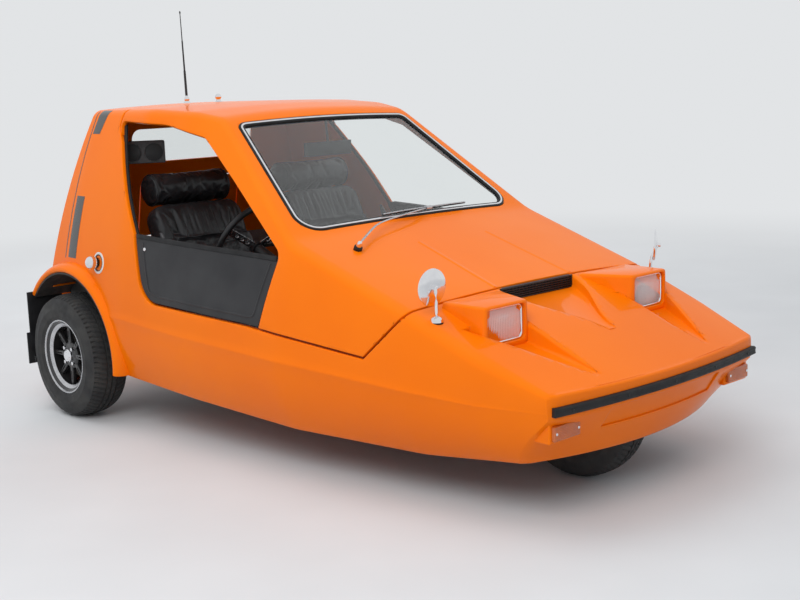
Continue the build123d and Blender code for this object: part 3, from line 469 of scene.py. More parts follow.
class Nodes:
    """Small builder for one material's node tree."""

    def __init__(self, name: str) -> None:
        """Start a material with only its shader.

        Args:
            name: the material's name.
        """
        self.material = bpy.data.materials.new(name)
        self.material.use_nodes = True
        self.tree = self.material.node_tree
        self.shader = self.tree.nodes["Principled BSDF"]
        self.place = self.tree.nodes.new("ShaderNodeTexCoord").outputs["Object"]

    def add(self, kind: str, **values: object) -> bpy.types.Node:
        """New node with its settings and unlinked inputs."""
        node = self.tree.nodes.new("ShaderNode" + kind)
        for key, value in values.items():
            if key in node.inputs:
                node.inputs[key].default_value = value
            else:
                setattr(node, key, value)
        return node

    def link(self, source: bpy.types.NodeSocket, target: bpy.types.NodeSocket) -> None:
        """Join two sockets."""
        self.tree.links.new(source, target)

    def noise(self, scale: float, detail: float = 3.0, stretch: Sequence[float] = (1, 1, 1)) -> bpy.types.NodeSocket:
        """Noise on the object's own coordinates.

        Args:
            scale: features for each metre.
            detail: octaves.
            stretch: scale along each axis.

        Returns:
            The noise's value.
        """
        mapping = self.add("Mapping", Scale=stretch)
        texture = self.add("TexNoise", Scale=scale, Detail=detail)
        self.link(self.place, mapping.inputs["Vector"])
        self.link(mapping.outputs["Vector"], texture.inputs["Vector"])
        return texture.outputs["Fac"]

    def ramp(self, source: bpy.types.NodeSocket, low: float, high: float,
             first: float, last: float, shape: str = "LINEAR") -> bpy.types.NodeSocket:
        """Value carried from one range to another."""
        node = self.add("MapRange", interpolation_type=shape)
        for key, value in (("From Min", low), ("From Max", high), ("To Min", first), ("To Max", last)):
            node.inputs[key].default_value = value
        self.link(source, node.inputs["Value"])
        return node.outputs["Result"]

    def tint(self, source: bpy.types.NodeSocket, first: Sequence[float], last: Sequence[float]) -> None:
        """Base colour mixed between two colours by a value."""
        node = self.add("Mix", data_type="RGBA")
        node.inputs[6].default_value = (*first, 1)
        node.inputs[7].default_value = (*last, 1)
        self.link(source, node.inputs[0])
        self.link(node.outputs[2], self.shader.inputs["Base Color"])

    def bump(self, source: bpy.types.NodeSocket, strength: float, distance: float) -> None:
        """Bump the surface by a value."""
        node = self.add("Bump", Strength=strength, Distance=distance)
        self.link(source, node.inputs["Height"])
        self.link(node.outputs["Normal"], self.shader.inputs["Normal"])


@dataclass(frozen=True)
class Finish:
    """A finish whose colour, gloss and grain vary a little over the surface."""

    name: str
    slot: str
    colour: tuple[float, float, float]
    other: tuple[float, float, float]
    gloss: tuple[float, float]
    metal: float = 0.0
    coat: float = 0.0
    coat_rough: float = 0.05
    mottle: float = 4.0
    grain: float = 300.0
    grain_depth: float = 0.0002
    grain_strength: float = 0.15
    stretch: tuple[float, float, float] = (1.0, 1.0, 1.0)
    clear: float = 0.0
    sheen: float = 0.0
    specular: float = 0.5
    coat_ior: float = 1.5
    alpha: float = 1.0

    @cache
    def material(self) -> bpy.types.Material:
        """The finish's material, made once."""
        nodes = Nodes(self.name)
        nodes.tint(nodes.ramp(nodes.noise(self.mottle), 0.35, 0.65, 0, 1), self.colour, self.other)
        nodes.link(nodes.ramp(nodes.noise(self.mottle * 2.3, 4, self.stretch), 0.3, 0.7, *self.gloss),
                   nodes.shader.inputs["Roughness"])
        nodes.bump(nodes.noise(self.grain, 3, self.stretch), self.grain_strength, self.grain_depth)
        for socket, value in (("Metallic", self.metal), ("Coat Weight", self.coat), ("Coat Roughness", self.coat_rough),
                              ("Transmission Weight", self.clear), ("Sheen Weight", self.sheen),
                              ("Specular IOR Level", self.specular), ("Coat IOR", self.coat_ior),
                              ("Alpha", self.alpha)):
            nodes.shader.inputs[socket].default_value = value
        return nodes.material


PAINT = Finish("orange_paint", "orange_body", (0.90, 0.185, 0.001), (0.86, 0.165, 0.001), (0.34, 0.42),
               coat=0.38, coat_rough=0.03, coat_ior=1.33, mottle=1.6, grain=900.0, grain_depth=0.00006,
               grain_strength=0.04, specular=0.05)
INNER_PAINT = Finish("orange_inner", "orange_body", (0.62, 0.10, 0.003), (0.52, 0.08, 0.003), (0.42, 0.55),
                     mottle=5.0, grain=220.0, grain_depth=0.0004, grain_strength=0.2)
RUBBER = Finish("moulded_rubber", "black_rubber", (0.010, 0.010, 0.011), (0.017, 0.017, 0.018), (0.42, 0.6),
                mottle=18.0, grain=1400.0, grain_strength=0.2, specular=0.25)
TYRE = Finish("tyre_rubber", "tyre", (0.020, 0.020, 0.021), (0.035, 0.034, 0.032), (0.62, 0.85),
              mottle=14.0, grain=900.0, grain_strength=0.3)
PLASTIC = Finish("satin_plastic", "black_plastic", (0.010, 0.010, 0.011), (0.016, 0.016, 0.017), (0.35, 0.5),
                 mottle=20.0, grain=1800.0, grain_strength=0.2)
MOULDED = Finish("moulded_side_screen", "black_plastic", (0.020, 0.020, 0.022), (0.030, 0.030, 0.032),
                 (0.38, 0.52), mottle=6.0, grain=1600.0, grain_strength=0.25, specular=0.3)
CHROME = Finish("bright_chrome", "chrome", (0.86, 0.86, 0.87), (0.80, 0.80, 0.82), (0.04, 0.12), metal=1.0,
                mottle=30.0, grain=400.0, grain_depth=0.00005, grain_strength=0.05)
REFLECTOR = Finish("lamp_reflector", "chrome", (0.84, 0.84, 0.86), (0.52, 0.52, 0.54), (0.24, 0.38), metal=0.4,
                   mottle=55.0, grain=160.0, grain_depth=0.0012, grain_strength=0.35)
BRUSHED = Finish("polished_alloy", "engine_alloy", (0.62, 0.62, 0.63), (0.50, 0.50, 0.52), (0.20, 0.32),
                 metal=1.0, mottle=30.0, grain=900.0, grain_depth=0.00003, grain_strength=0.05)
GLASS = Finish("screen_glass", "window_glass", (0.93, 0.96, 0.95), (0.92, 0.95, 0.94), (0.0, 0.004),
               clear=1.0, grain=3.0, grain_depth=0.0001, grain_strength=0.02)
# The lamp lens's pale colour, shown at part opacity, is painted light: a milky veil that lightens the lamp in place of
# the bright reflections in its bowl.
LENS = Finish("lamp_lens", "lamp_glass", (0.90, 0.90, 0.91), (0.80, 0.80, 0.82), (0.03, 0.08), coat=0.5,
              grain=3.0, grain_depth=0.0001, grain_strength=0.02, alpha=0.48)
AMBER = Finish("amber_lens", "amber", (0.75, 0.17, 0.01), (0.62, 0.13, 0.01), (0.12, 0.2), clear=0.35,
               mottle=30.0, grain=400.0, grain_depth=0.0003, coat=0.6)
RED = Finish("red_lens", "red", (0.55, 0.01, 0.01), (0.42, 0.01, 0.01), (0.12, 0.2), clear=0.35,
             mottle=30.0, grain=400.0, grain_depth=0.0003, coat=0.6)
WHEEL_BLACK = Finish("wheel_black", "black_wheel", (0.012, 0.012, 0.013), (0.020, 0.019, 0.019),
                     (0.25, 0.4), coat=0.5, mottle=20.0, grain=900.0)
FRAME_BLACK = Finish("frame_paint", "chassis_black", (0.018, 0.018, 0.018), (0.05, 0.042, 0.036),
                     (0.5, 0.75), mottle=12.0, grain=260.0, grain_depth=0.0004)
IRON = Finish("oily_iron", "iron", (0.05, 0.048, 0.045), (0.09, 0.07, 0.05), (0.45, 0.7), metal=0.6,
              mottle=16.0, grain=240.0, grain_depth=0.0004)
STEEL = Finish("plain_steel", "steel", (0.38, 0.37, 0.36), (0.26, 0.24, 0.22), (0.3, 0.5), metal=1.0,
               mottle=16.0, grain=500.0)
VINYL = Finish("seat_vinyl", "black_vinyl", (0.010, 0.010, 0.011), (0.018, 0.018, 0.020), (0.28, 0.42),
               mottle=9.0, grain=1100.0, grain_depth=0.0003, grain_strength=0.35)
CARPET = Finish("cabin_carpet", "black_carpet", (0.012, 0.012, 0.012), (0.026, 0.026, 0.026), (0.9, 1.0),
                mottle=60.0, grain=1500.0, grain_depth=0.001, grain_strength=0.8, sheen=0.3)
STRIPE = Finish("black_stripe", "black_plastic", (0.012, 0.012, 0.012), (0.018, 0.017, 0.017), (0.25, 0.35),
                coat=0.6, mottle=6.0, grain=900.0, grain_depth=0.00005, grain_strength=0.05)
GREY = Finish("grey_plastic", "black_plastic", (0.085, 0.085, 0.088), (0.065, 0.065, 0.068), (0.4, 0.55),
              mottle=20.0, grain=1500.0, grain_strength=0.2)
WHITE = Finish("white_plastic", "black_plastic", (0.72, 0.72, 0.70), (0.64, 0.64, 0.62), (0.3, 0.45),
               mottle=20.0, grain=900.0)


def dress(piece: Piece, finish: Finish, body: Body | None = None, instead_of: Sequence[str] = (),
          crease: float | None = None) -> Piece:
    """Give a piece its finish, body and the CAD nodes that it stands for.

    Args:
        piece: the finished object.
        finish: its finish.
        body: the body that it rides on; none for a CAD node.
        instead_of: CAD nodes that it replaces.
        crease: angle of the edges that stay sharp; none if its shading is already set.

    Returns:
        The same piece.
    """
    if crease is not None:
        smooth(piece, crease)
    coat(piece, finish.material())
    if body is not None:
        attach(piece, body.value)
    if instead_of:
        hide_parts(*instead_of)
    LOG.info("%s: %d faces", piece.name, len(piece.data.polygons))
    return piece


def refined(node: str, radius: float, finish: Finish, body: Body, segments: int = 2) -> Piece:
    """Copy of a CAD node with rounded edges, shown in its place.

    Args:
        node: the CAD node's name.
        radius: radius of its edges.
        finish: its finish.
        body: the body that it rides on.
        segments: faces across each rounded edge.

    Returns:
        The new piece.
    """
    piece = cad_copy(node, node + "_look")
    bpy.ops.mesh.tris_convert_to_quads(face_threshold=math.radians(4), shape_threshold=math.radians(60))
    deselect()
    soften(piece, radius, segments, 32)
    return dress(piece, finish, body, (node,), 34)


# The body's skin

Row = tuple[float, Point2, Point2, Point2, Point2, Point2, float]


class BodySkin:
    """The car's outer form, from which its panels, glass and stripes are cut."""

    STRIP_HALF = 0.506
    SHOULDER_R = 0.046
    FIRM_FRONT_X = 1.10
    FIRM_REAR_X = -0.90
    STEP = 0.012
    BLEND = 0.036
    CROWN_STEPS = 22
    FILLET_STEPS = 9
    BELT_STEPS = 20
    LOW_STEPS = 14
    FLOOR_Z = 0.05
    NOSE_ROUND = 0.009
    ARC_STEPS = 200
    FORM_WELD = 2e-5
    SKIN_WELD = 6e-4
    CREASE = 44
    RIM_ANGLE = math.radians(55)
    LEASH_IN = 1.1
    LEASH_OUT = 0.0002
    RIDGE = 0.0045
    RIDGE_ABOVE = (0.032, 0.020, 0.012, 0.006, 0.0)
    RIDGE_BELOW = (0.006, 0.014, 0.026)

    SECTIONS: tuple[Row, ...] = (
        (1.403, (0.440, 0.190), (0.484, 0.280), (0.498, 0.352), (0.502, 0.365), (0.500, 0.377), 0.385),
        (1.120, (0.478, 0.168), (0.552, 0.270), (0.572, 0.352), (0.570, 0.421), (0.560, 0.490), 0.507),
        (0.858, (0.515, 0.146), (0.592, 0.262), (0.618, 0.366), (0.602, 0.478), (0.578, 0.590), 0.610),
        (0.335, (0.592, 0.147), (0.652, 0.272), (0.667, 0.388), (0.636, 0.578), (0.588, 0.765), 0.782),
        (-0.185, (0.624, 0.170), (0.669, 0.290), (0.677, 0.405), (0.632, 0.738), (0.436, 1.143), 1.163),
        (-0.330, (0.632, 0.180), (0.672, 0.300), (0.678, 0.412), (0.640, 0.738), (0.462, 1.166), 1.182),
        (-0.560, (0.640, 0.195), (0.674, 0.312), (0.679, 0.425), (0.646, 0.738), (0.492, 1.178), 1.190),
        (-0.940, (0.640, 0.215), (0.668, 0.325), (0.672, 0.430), (0.622, 0.738), (0.470, 1.174), 1.188),
        (-1.190, (0.620, 0.225), (0.640, 0.330), (0.644, 0.430), (0.588, 0.738), (0.440, 1.170), 1.184),
    )
    NOSE_PLAN = ((0.090, 1.247, 0.130), (0.185, 1.307, 0.112), (0.334, 1.383, 0.040), (1.400, 1.371, 0.040))
    TAIL_TOP = (-0.985, 1.184)
    TAIL_FOOT = (-1.112, 0.590)

    def __init__(self) -> None:
        """Work out the sections and build the whole form once."""
        self.mark_skin = bpy.data.materials.new("mark_skin")
        self.mark_cut = bpy.data.materials.new("mark_cut")
        self.rings = [(row[0], self.half_ring(row)) for row in self.SECTIONS]
        self.form = self.build_form()
        self.tree = self.surface(self.form)

    def half_ring(self, row: Row) -> list[Vector]:
        """Left half of one section, from the crown down to the bottom lip."""
        _, lip, swell, crease, belt, shoulder, crown = row
        rise = shoulder[1] - crease[1]
        radius = self.SHOULDER_R if rise >= 0.08 else min(self.SHOULDER_R, 0.35 * rise)
        top = arc_through((0, crown), (shoulder[0] * 0.5, crown - (crown - shoulder[1]) * 0.25), shoulder,
                          self.ARC_STEPS)
        side = arc_through(shoulder, belt, crease, self.ARC_STEPS)
        inward = (top[-2] - top[-1]).normalized()
        down = (side[1] - side[0]).normalized()
        half = inward.angle(down) / 2
        reach = radius / math.tan(half)

        def split(points: list[Vector], distance: float) -> tuple[list[Vector], Vector]:
            """Points beyond a distance from the first one, and the place at that distance."""
            walked = 0.0
            for index in range(1, len(points)):
                step = (points[index] - points[index - 1]).length
                if walked + step >= distance:
                    cut = points[index - 1].lerp(points[index], (distance - walked) / step)
                    return points[index:], cut
                walked += step
            return points[-1:], points[-1]

        top_rest, top_cut = split(top[::-1], reach)
        side_rest, side_cut = split(side, reach)
        corner = Vector(shoulder)
        weight = math.sin(half)
        fillet = []
        for step in range(self.FILLET_STEPS + 1):
            t = step / self.FILLET_STEPS
            a, b, c = (1 - t) ** 2, 2 * t * (1 - t) * weight, t * t
            fillet.append((top_cut * a + corner * b + side_cut * c) / (a + b + c))

        def picked(points: list[Vector], share: Callable[[float], list[float]]) -> list[Vector]:
            """Points of a line at distances from its start."""
            lengths = [0.0]
            for first, second in zip(points, points[1:]):
                lengths.append(lengths[-1] + (second - first).length)
            out, place = [], 0
            for want in share(lengths[-1]):
                while place < len(points) - 2 and lengths[place + 1] < want:
                    place += 1
                span = max(lengths[place + 1] - lengths[place], 1e-9)
                out.append(points[place].lerp(points[place + 1], (want - lengths[place]) / span))
            return out

        def even(length: float, count: int) -> list[float]:
            """Evenly spaced distances over a length, with both ends."""
            return [length * step / count for step in range(count + 1)]

        crown_line = picked([top_cut, *top_rest][::-1], lambda total: even(total, self.CROWN_STEPS))
        side_line = [side_cut, *side_rest]
        size = min(1.0, (side_line[-1] - side_line[0]).length / 0.25)
        above = [value * size for value in self.RIDGE_ABOVE]
        below = [value * size for value in self.RIDGE_BELOW]
        belt_line = picked(side_line, lambda total: even(total - above[0], self.BELT_STEPS)
                           + [total - value for value in above[1:]])
        low_arc = arc_through(crease, swell, lip, self.ARC_STEPS)
        low_line = picked(low_arc, lambda total: below[:-1]
                          + [below[-1] + value for value in even(total - below[-1], self.LOW_STEPS)])
        for index, distance in enumerate(above):
            spot = len(belt_line) - len(above) + index
            belt_line[spot] = belt_line[spot] + Vector((self.RIDGE * size * (1 - distance / above[0]) ** 2, 0))
        for index, distance in enumerate(below):
            low_line[index] = low_line[index] + Vector((self.RIDGE * size * (1 - distance / below[-1]), 0))
        return crown_line + fillet[1:] + belt_line[1:] + low_line

    def between(self, x: float, index: int) -> Vector:
        """Point of the half ring at a place along the car, straight between two sections."""
        rings = self.rings
        place = 0
        while place < len(rings) - 2 and x < rings[place + 1][0]:
            place += 1
        front, rear = rings[place], rings[place + 1]
        share = (front[0] - x) / (front[0] - rear[0])
        return front[1][index].lerp(rear[1][index], share)

    def at(self, x: float, index: int) -> Vector:
        """The same with the bends between sections rounded."""
        total = Vector((0, 0))
        weights = (1, 2, 3, 4, 3, 2, 1)
        for step, weight in enumerate(weights):
            total += self.between(x + self.BLEND * (step / 3 - 1), index) * weight
        return total / sum(weights)

    def nose_limit(self, y: float, z: float) -> float:
        """Where the nose ends at a height and half-width."""
        rows = self.NOSE_PLAN
        place = 0
        while place < len(rows) - 2 and z > rows[place + 1][0]:
            place += 1
        low, high = rows[place], rows[place + 1]
        share = min(max((z - low[0]) / (high[0] - low[0]), 0), 1)
        centre = low[1] + share * (high[1] - low[1])
        bow = low[2] + share * (high[2] - low[2])
        return centre - bow * (y / self.STRIP_HALF) ** 2

    def nose_pull(self, depth: float) -> float:
        """How far the nose's edge is rounded back at a depth below its top."""
        short = max(self.NOSE_ROUND - max(depth, 0), 0)
        return self.NOSE_ROUND - math.sqrt(self.NOSE_ROUND ** 2 - short ** 2)

    def tail_x(self, z: float) -> float:
        """Where the tail's slope is at a height."""
        share = (self.TAIL_TOP[1] - z) / (self.TAIL_TOP[1] - self.TAIL_FOOT[1])
        return self.TAIL_TOP[0] + share * (self.TAIL_FOOT[0] - self.TAIL_TOP[0])

    def grid_x(self, x: float, index: int) -> float:
        """Place of a grid line, drawn in to end on the nose's bow or the tail's slope."""
        front, rear = self.SECTIONS[0][0], self.SECTIONS[-1][0]
        if x > self.FIRM_FRONT_X:
            spot = self.at(front - 0.03, index)
            limit = self.nose_limit(spot.x, spot.y)
            for _ in range(3):
                spot = self.at(limit, index)
                limit = self.nose_limit(spot.x, spot.y) - self.NOSE_ROUND
            firm = self.FIRM_FRONT_X
            return firm + (x - firm) * (limit - firm) / (front - firm)
        if x < self.FIRM_REAR_X:
            limit = self.tail_x(self.at(rear + 0.05, index).y)
            firm = self.FIRM_REAR_X
            return firm + (x - firm) * (limit - firm) / (rear - firm)
        return x

    def build_form(self) -> Piece:
        """Closed form of the whole body, with its underside marked as cut."""
        front, rear = self.SECTIONS[0][0], self.SECTIONS[-1][0]
        count = round((front - rear) / self.STEP)
        half = len(self.rings[0][1]) + 1
        lines = []
        for step in range(count + 1):
            x = rear + (front - rear) * step / count
            line = []
            for index in range(half - 1):
                place = self.grid_x(x, index)
                spot = self.at(place, index)
                line.append(Vector((place, spot.x, spot.y)))
            line.append(Vector((line[-1].x, line[-1].y, self.FLOOR_Z)))
            ring = line[::-1] + [Vector((p.x, -p.y, p.z)) for p in line[1:]]
            lines.append(ring)
        around = len(lines[0])
        skin = sheet("body_form", around, len(lines), lambda i, j: lines[j][i])
        caps = []
        crown = range(half - 1 - self.CROWN_STEPS, half + self.CROWN_STEPS)
        lip_row = half - 2 - self.CROWN_STEPS
        for end in (0, len(lines) - 1):
            ring = lines[end]
            depth = half - self.CROWN_STEPS

            def place(i: int, j: int, ring: list[Vector] = ring, end: int = end) -> Vector:
                """Point of the end panel: across by the crown's points, down by the side's."""
                top = ring[crown[i]]
                side = ring[half - 1 - self.CROWN_STEPS - j]
                edge = ring[crown[0]]
                y = top.y * side.y / edge.y
                z = side.z + (top.z - edge.z) * max(1 - j / lip_row, 0) ** 2
                if j > lip_row:
                    return place(i, lip_row) * Vector((1, 1, 0)) + Vector((0, 0, self.FLOOR_Z))
                x = self.tail_x(z) if end == 0 else self.nose_limit(y, z) - self.nose_pull(top.z - z)
                if i in (0, len(crown) - 1):
                    x = side.x
                if j == 0:
                    x = top.x
                return Vector((x, y, z))

            caps.append(sheet("end_panel", len(crown), depth, place))
        form = joined("body_form", [skin, *caps])
        coat(form, self.mark_skin, self.mark_cut)
        edit_all(form)
        bpy.ops.mesh.remove_doubles(threshold=self.FORM_WELD)
        pick_rims()
        bpy.ops.mesh.edge_face_add()
        bpy.ops.mesh.select_all(action="SELECT")
        bpy.ops.mesh.quads_convert_to_tris(quad_method="SHORTEST_DIAGONAL", ngon_method="BEAUTY")
        bpy.ops.mesh.normals_make_consistent(inside=False)
        mesh = bmesh.from_edit_mesh(form.data)
        for face in mesh.faces:
            if min(vertex.co.z for vertex in face.verts) < self.FLOOR_Z + 0.001:
                face.material_index = 1
        bmesh.update_edit_mesh(form.data)
        deselect()
        return form

    def tool(self, piece: Piece) -> Piece:
        """Mark a cutting tool, so that the faces it leaves can be told from the skin."""
        return coat(piece, self.mark_cut)

    def grown(self, piece: Piece) -> Piece:
        """Mark a solid that adds skin of its own."""
        return coat(piece, self.mark_skin)

    def drop_cut_faces(self, piece: Piece) -> None:
        """Leave only the skin's faces."""
        marks = [slot.material for slot in piece.material_slots]
        cuts = {index for index, mark in enumerate(marks) if mark == self.mark_cut}
        edit_all(piece)
        mesh = bmesh.from_edit_mesh(piece.data)
        doomed = [face for face in mesh.faces if face.material_index in cuts]
        bmesh.ops.delete(mesh, geom=doomed, context="FACES")
        bmesh.update_edit_mesh(piece.data)
        bpy.ops.mesh.select_all(action="SELECT")
        bpy.ops.mesh.remove_doubles(threshold=self.SKIN_WELD)
        deselect()

    def leash(self, piece: Piece, tree: BVHTree, reach: float, outside: float) -> None:
        """Bring back points that a bevel or an offset has thrown off a surface.

        Args:
            piece: the piece that may have stray points.
            tree: the surface.
            reach: how far inside it a point may lie.
            outside: how far outside it a point may lie.
        """
        for vertex in piece.data.vertices:
            spot, normal, _, distance = tree.find_nearest(vertex.co)
            limit = outside if (vertex.co - spot).dot(normal) > 0 else reach
            if distance > limit:
                vertex.co = spot + (vertex.co - spot) * (limit / distance)

    def surface(self, piece: Piece) -> BVHTree:
        """Search tree of a piece's faces as they are."""
        return BVHTree.FromPolygons([v.co for v in piece.data.vertices],
                                    [tuple(p.vertices) for p in piece.data.polygons])

    def shell(self, piece: Piece, wall: float, edge: float) -> None:
        """Turn a cut form into a moulding with a wall and rounded rims.

        Args:
            piece: the cut form.
            wall: thickness, inwards.
            edge: radius of its edges.
        """
        self.drop_cut_faces(piece)
        outer = self.surface(piece)
        modify(piece, "SOLIDIFY", thickness=wall, offset=-1.0, use_even_offset=False, use_rim=True)
        modify(piece, "BEVEL", width=edge, segments=2, limit_method="ANGLE", angle_limit=self.RIM_ANGLE,
               use_clamp_overlap=False)
        self.leash(piece, outer, wall * self.LEASH_IN, self.LEASH_OUT)
        smooth(piece, self.CREASE)

    def patch(self, name: str, tool: Piece, lift: float, wall: float) -> Piece:
        """Piece of the skin inside a tool, moved in or out and given a wall.

        Args:
            name: the piece's name.
            tool: solid that bounds it.
            lift: how far it stands off the skin, outwards.
            wall: thickness, inwards.

        Returns:
            The new piece.
        """
        piece = duplicate(self.form, name)
        carve(piece, self.tool(tool), Carve.KEEP)
        self.drop_cut_faces(piece)
        smooth(piece, self.CREASE)
        modify(piece, "DISPLACE", strength=lift, mid_level=0.0)
        modify(piece, "SOLIDIFY", thickness=wall, offset=-1.0, use_even_offset=True, use_rim=True)
        smooth(piece, self.CREASE)
        return piece

    def hit(self, start: Sequence[float], towards: Sequence[float]) -> tuple[Vector, Vector]:
        """Where a line meets the skin, and the skin's direction there."""
        spot, normal, _, _ = self.tree.ray_cast(Vector(start), Vector(towards).normalized())
        return spot, normal

    def from_above(self, x: float, y: float) -> tuple[Vector, Vector]:
        """Top of the skin at a place in plan, and its direction there."""
        return self.hit((x, y, OVERHEAD), (0, 0, -1))

    def from_side(self, side: Side, x: float, z: float) -> tuple[Vector, Vector]:
        """Side of the skin at a place in the side view, and its direction there."""
        return self.hit((x, side.value * ABEAM, z), (0, -side.value, 0))


def swept(name: str, line: Sequence[tuple[Vector, Vector]], profile: Sequence[Point2], closed: bool) -> Piece:
    """Bead that follows a line on a surface.

    Args:
        name: the piece's name.
        line: points and the surface's directions there.
        profile: points as (sideways, outwards), round the bead.
        closed: whether the line runs back to its start.

    Returns:
        The new piece.
    """
    rings = []
    count = len(line)
    for index, (spot, normal) in enumerate(line):
        if closed:
            ahead = line[(index + 1) % count][0] - line[index - 1][0]
        else:
            ahead = line[min(index + 1, count - 1)][0] - line[max(index - 1, 0)][0]
        ahead.normalize()
        across = normal.cross(ahead).normalized()
        out = ahead.cross(across)
        rings.append([spot + across * side + out * rise for side, rise in profile])
    return ringed(name, rings) if closed else loft(name, rings)


def dense(points: Sequence[Point2], step: float, closed: bool = True) -> list[Point2]:
    """The same outline with points no further apart than a step."""
    out: list[Point2] = []
    ends = list(points[1:]) + ([points[0]] if closed else [])
    for first, second in zip(points, ends):
        length = math.dist(first, second)
        parts = max(1, math.ceil(length / step))
        for part in range(parts):
            share = part / parts
            out.append((first[0] + share * (second[0] - first[0]), first[1] + share * (second[1] - first[1])))
    if not closed:
        out.append(points[-1])
    return out


@dataclass
class Panels:
    """The canopy and the fixed moulding, with the ridges, inner tub and hinge feet."""

    skin: BodySkin
    gap: float = 0.0035
    wall: float = 0.016
    edge: float = 0.0028
    seam_x: float = 0.858
    seam_corner: Point2 = (0.858, 0.590)
    cheek_foot: Point2 = (0.708, 0.442)
    cheek_rear: Point2 = (0.246, 0.480)
    roof_seam_x: float = -0.742
    pod_y: float = 0.356
    grille_half: float = 0.176
    plate_sink: float = 0.007
    rim_soft: float = 0.010
    scoop_rings: int = 28

    REAR_WINDOW = (0.300, 0.955, 1.092, 0.034)
    BOOT = (0.250, 0.640, 0.880, 0.026)
    SCREEN_FOOT = Vector((0.335, 0, 0.782))
    SCREEN_HEAD = Vector((-0.185, 0, 1.163))
    APERTURE = ((-0.742, 1.137), (-0.482, 0.740), (-0.408, 0.500), (-0.200, 0.494), (0.246, 0.480),
                (0.305, 0.722), (-0.015, 0.940), (-0.228, 1.080), (-0.440, 1.124))
    APERTURE_RADII = (0.014, 0.060, 0.120, 0.060, 0.004, 0.040, 0.300, 0.060, 0.300)

    @property
    def cheek_rise(self) -> float:
        """Slope of the canopy's front edge down the cheek."""
        return (self.seam_corner[1] - self.cheek_foot[1]) / (self.seam_corner[0] - self.cheek_foot[0])

    def scarf(self, gap: float) -> Piece:
        """Room ahead of the canopy's front edge, leaning forward and following the crown."""
        half, height = self.skin.SECTIONS[2][5]
        crown = self.skin.SECTIONS[2][6]
        sag = crown - height
        rise = self.cheek_rise
        edge = self.seam_x - gap * math.hypot(1, rise) / rise
        rings = []
        for step in range(33):
            y = -0.66 + 1.32 * step / 32
            top = crown - sag * min(abs(y) / half, 1.2) ** 2
            rings.append([Vector((edge - 0.04 / rise, y, top - 0.04)), Vector((edge + 0.2 / rise, y, top + 0.2)),
                          Vector((1.6, y, top + 0.2)), Vector((1.6, y, top - 0.04))])
        return self.skin.tool(loft("scarf", rings))

    def canopy_zone(self, gap: float) -> Piece:
        """All that lifts with the canopy."""
        rise = self.cheek_rise
        reach = 0.070
        points = [
            (self.roof_seam_x + gap, 1.4), (self.seam_x + reach, 1.4),
            (self.seam_x + reach, self.seam_corner[1] + reach * rise + gap * math.hypot(1, rise)),
            (self.cheek_foot[0] - 0.38 * gap, self.cheek_foot[1] + 1.03 * gap),
            (self.cheek_rear[0] - 0.06, self.cheek_rear[1] + 0.005 + gap),
            (-0.100, 0.560), (-0.420, 0.760), (self.roof_seam_x + gap, 1.120),
        ]
        zone = self.skin.tool(side_prism("canopy_zone", points, -BESIDE, BESIDE))
        carve(zone, self.scarf(gap), Carve.CUT)
        return zone

    def doors(self) -> list[Piece]:
        """Tools for the two door apertures."""
        outline = rounded(self.APERTURE, self.APERTURE_RADII, 14)
        return [self.skin.tool(side_prism("door", outline, *side.span(0.33, BESIDE)))
                for side in Side]

    def screen_points(self, margin: float) -> list[Vector]:
        """Windscreen outline on its slope, moved in by a margin."""
        bottom, top, below, length = 0.516, 0.403, 0.008, 0.590
        lean = (bottom - top) / length
        low, high = below + margin, below + length - margin
        side = margin * math.hypot(1, lean)
        half_low = bottom - lean * margin - side
        half_high = bottom - lean * (high - below) - side
        flat = rounded([(-half_low, low), (half_low, low), (half_high, high), (-half_high, high)],
                       [0.078 - margin, 0.078 - margin, max(0.042 - margin, 0.012), max(0.042 - margin, 0.012)], 12)
        slope = (self.SCREEN_HEAD - self.SCREEN_FOOT).normalized()
        return [self.SCREEN_FOOT + slope * v + Vector((0, u, 0)) for u, v in dense(flat, 0.012)]

    def screen_line(self, margin: float) -> list[tuple[Vector, Vector]]:
        """Points on the skin round the windscreen, with the skin's direction."""
        up = Vector((0.381, 0, 0.520)).normalized()
        return [self.skin.hit(spot + up * 0.2, -up) for spot in self.screen_points(margin)]

    def screen_tool(self, margin: float) -> Piece:
        """Windscreen outline pushed through the body along its normal."""
        slope = (self.SCREEN_HEAD - self.SCREEN_FOOT).normalized()
        normal = Vector((-slope.z, 0, slope.x)) * -1
        outline = self.screen_points(margin)
        return self.skin.tool(loft("screen_tool", [[p + normal * h for p in outline] for h in (-0.09, 0.09)]))

    def tail_tool(self, half: float, z0: float, z1: float, radius: float) -> Piece:
        """Rounded rectangle pushed through the tail."""
        outline = round_box(-half, z0, half, z1, radius)
        return self.skin.tool(front_prism("tail_tool", outline, -1.6, -0.84))

    def rim(self, x: float, y: float, floor: float, out: int) -> list[Point2]:
        """Side of a scoop at one place along the car, from its floor up, with a soft foot and rim.

        Args:
            x: place along the car.
            y: place of the wall across the car.
            floor: height of the scoop's floor.
            out: 1 where the wall is left of the scoop, -1 where it is right of it.

        Returns:
            Points as (y, z), from the floor up to over the skin.
        """
        top = max(self.skin.from_above(x, y)[0].z, floor + 0.006)
        depth = top - floor
        soft = min(self.rim_soft, depth * 0.5)
        foot = min(self.rim_soft, depth * 0.4)
        return [(y - out * foot * 1.6, floor), (y - out * foot * 0.45, floor + foot * 0.3), (y, floor + foot),
                (y, top - soft), (y + out * soft * 0.3, top - soft * 0.35), (y + out * soft * 1.1, top + 0.0006),
                (y + out * (soft * 1.1 + 0.001), 0.760)]

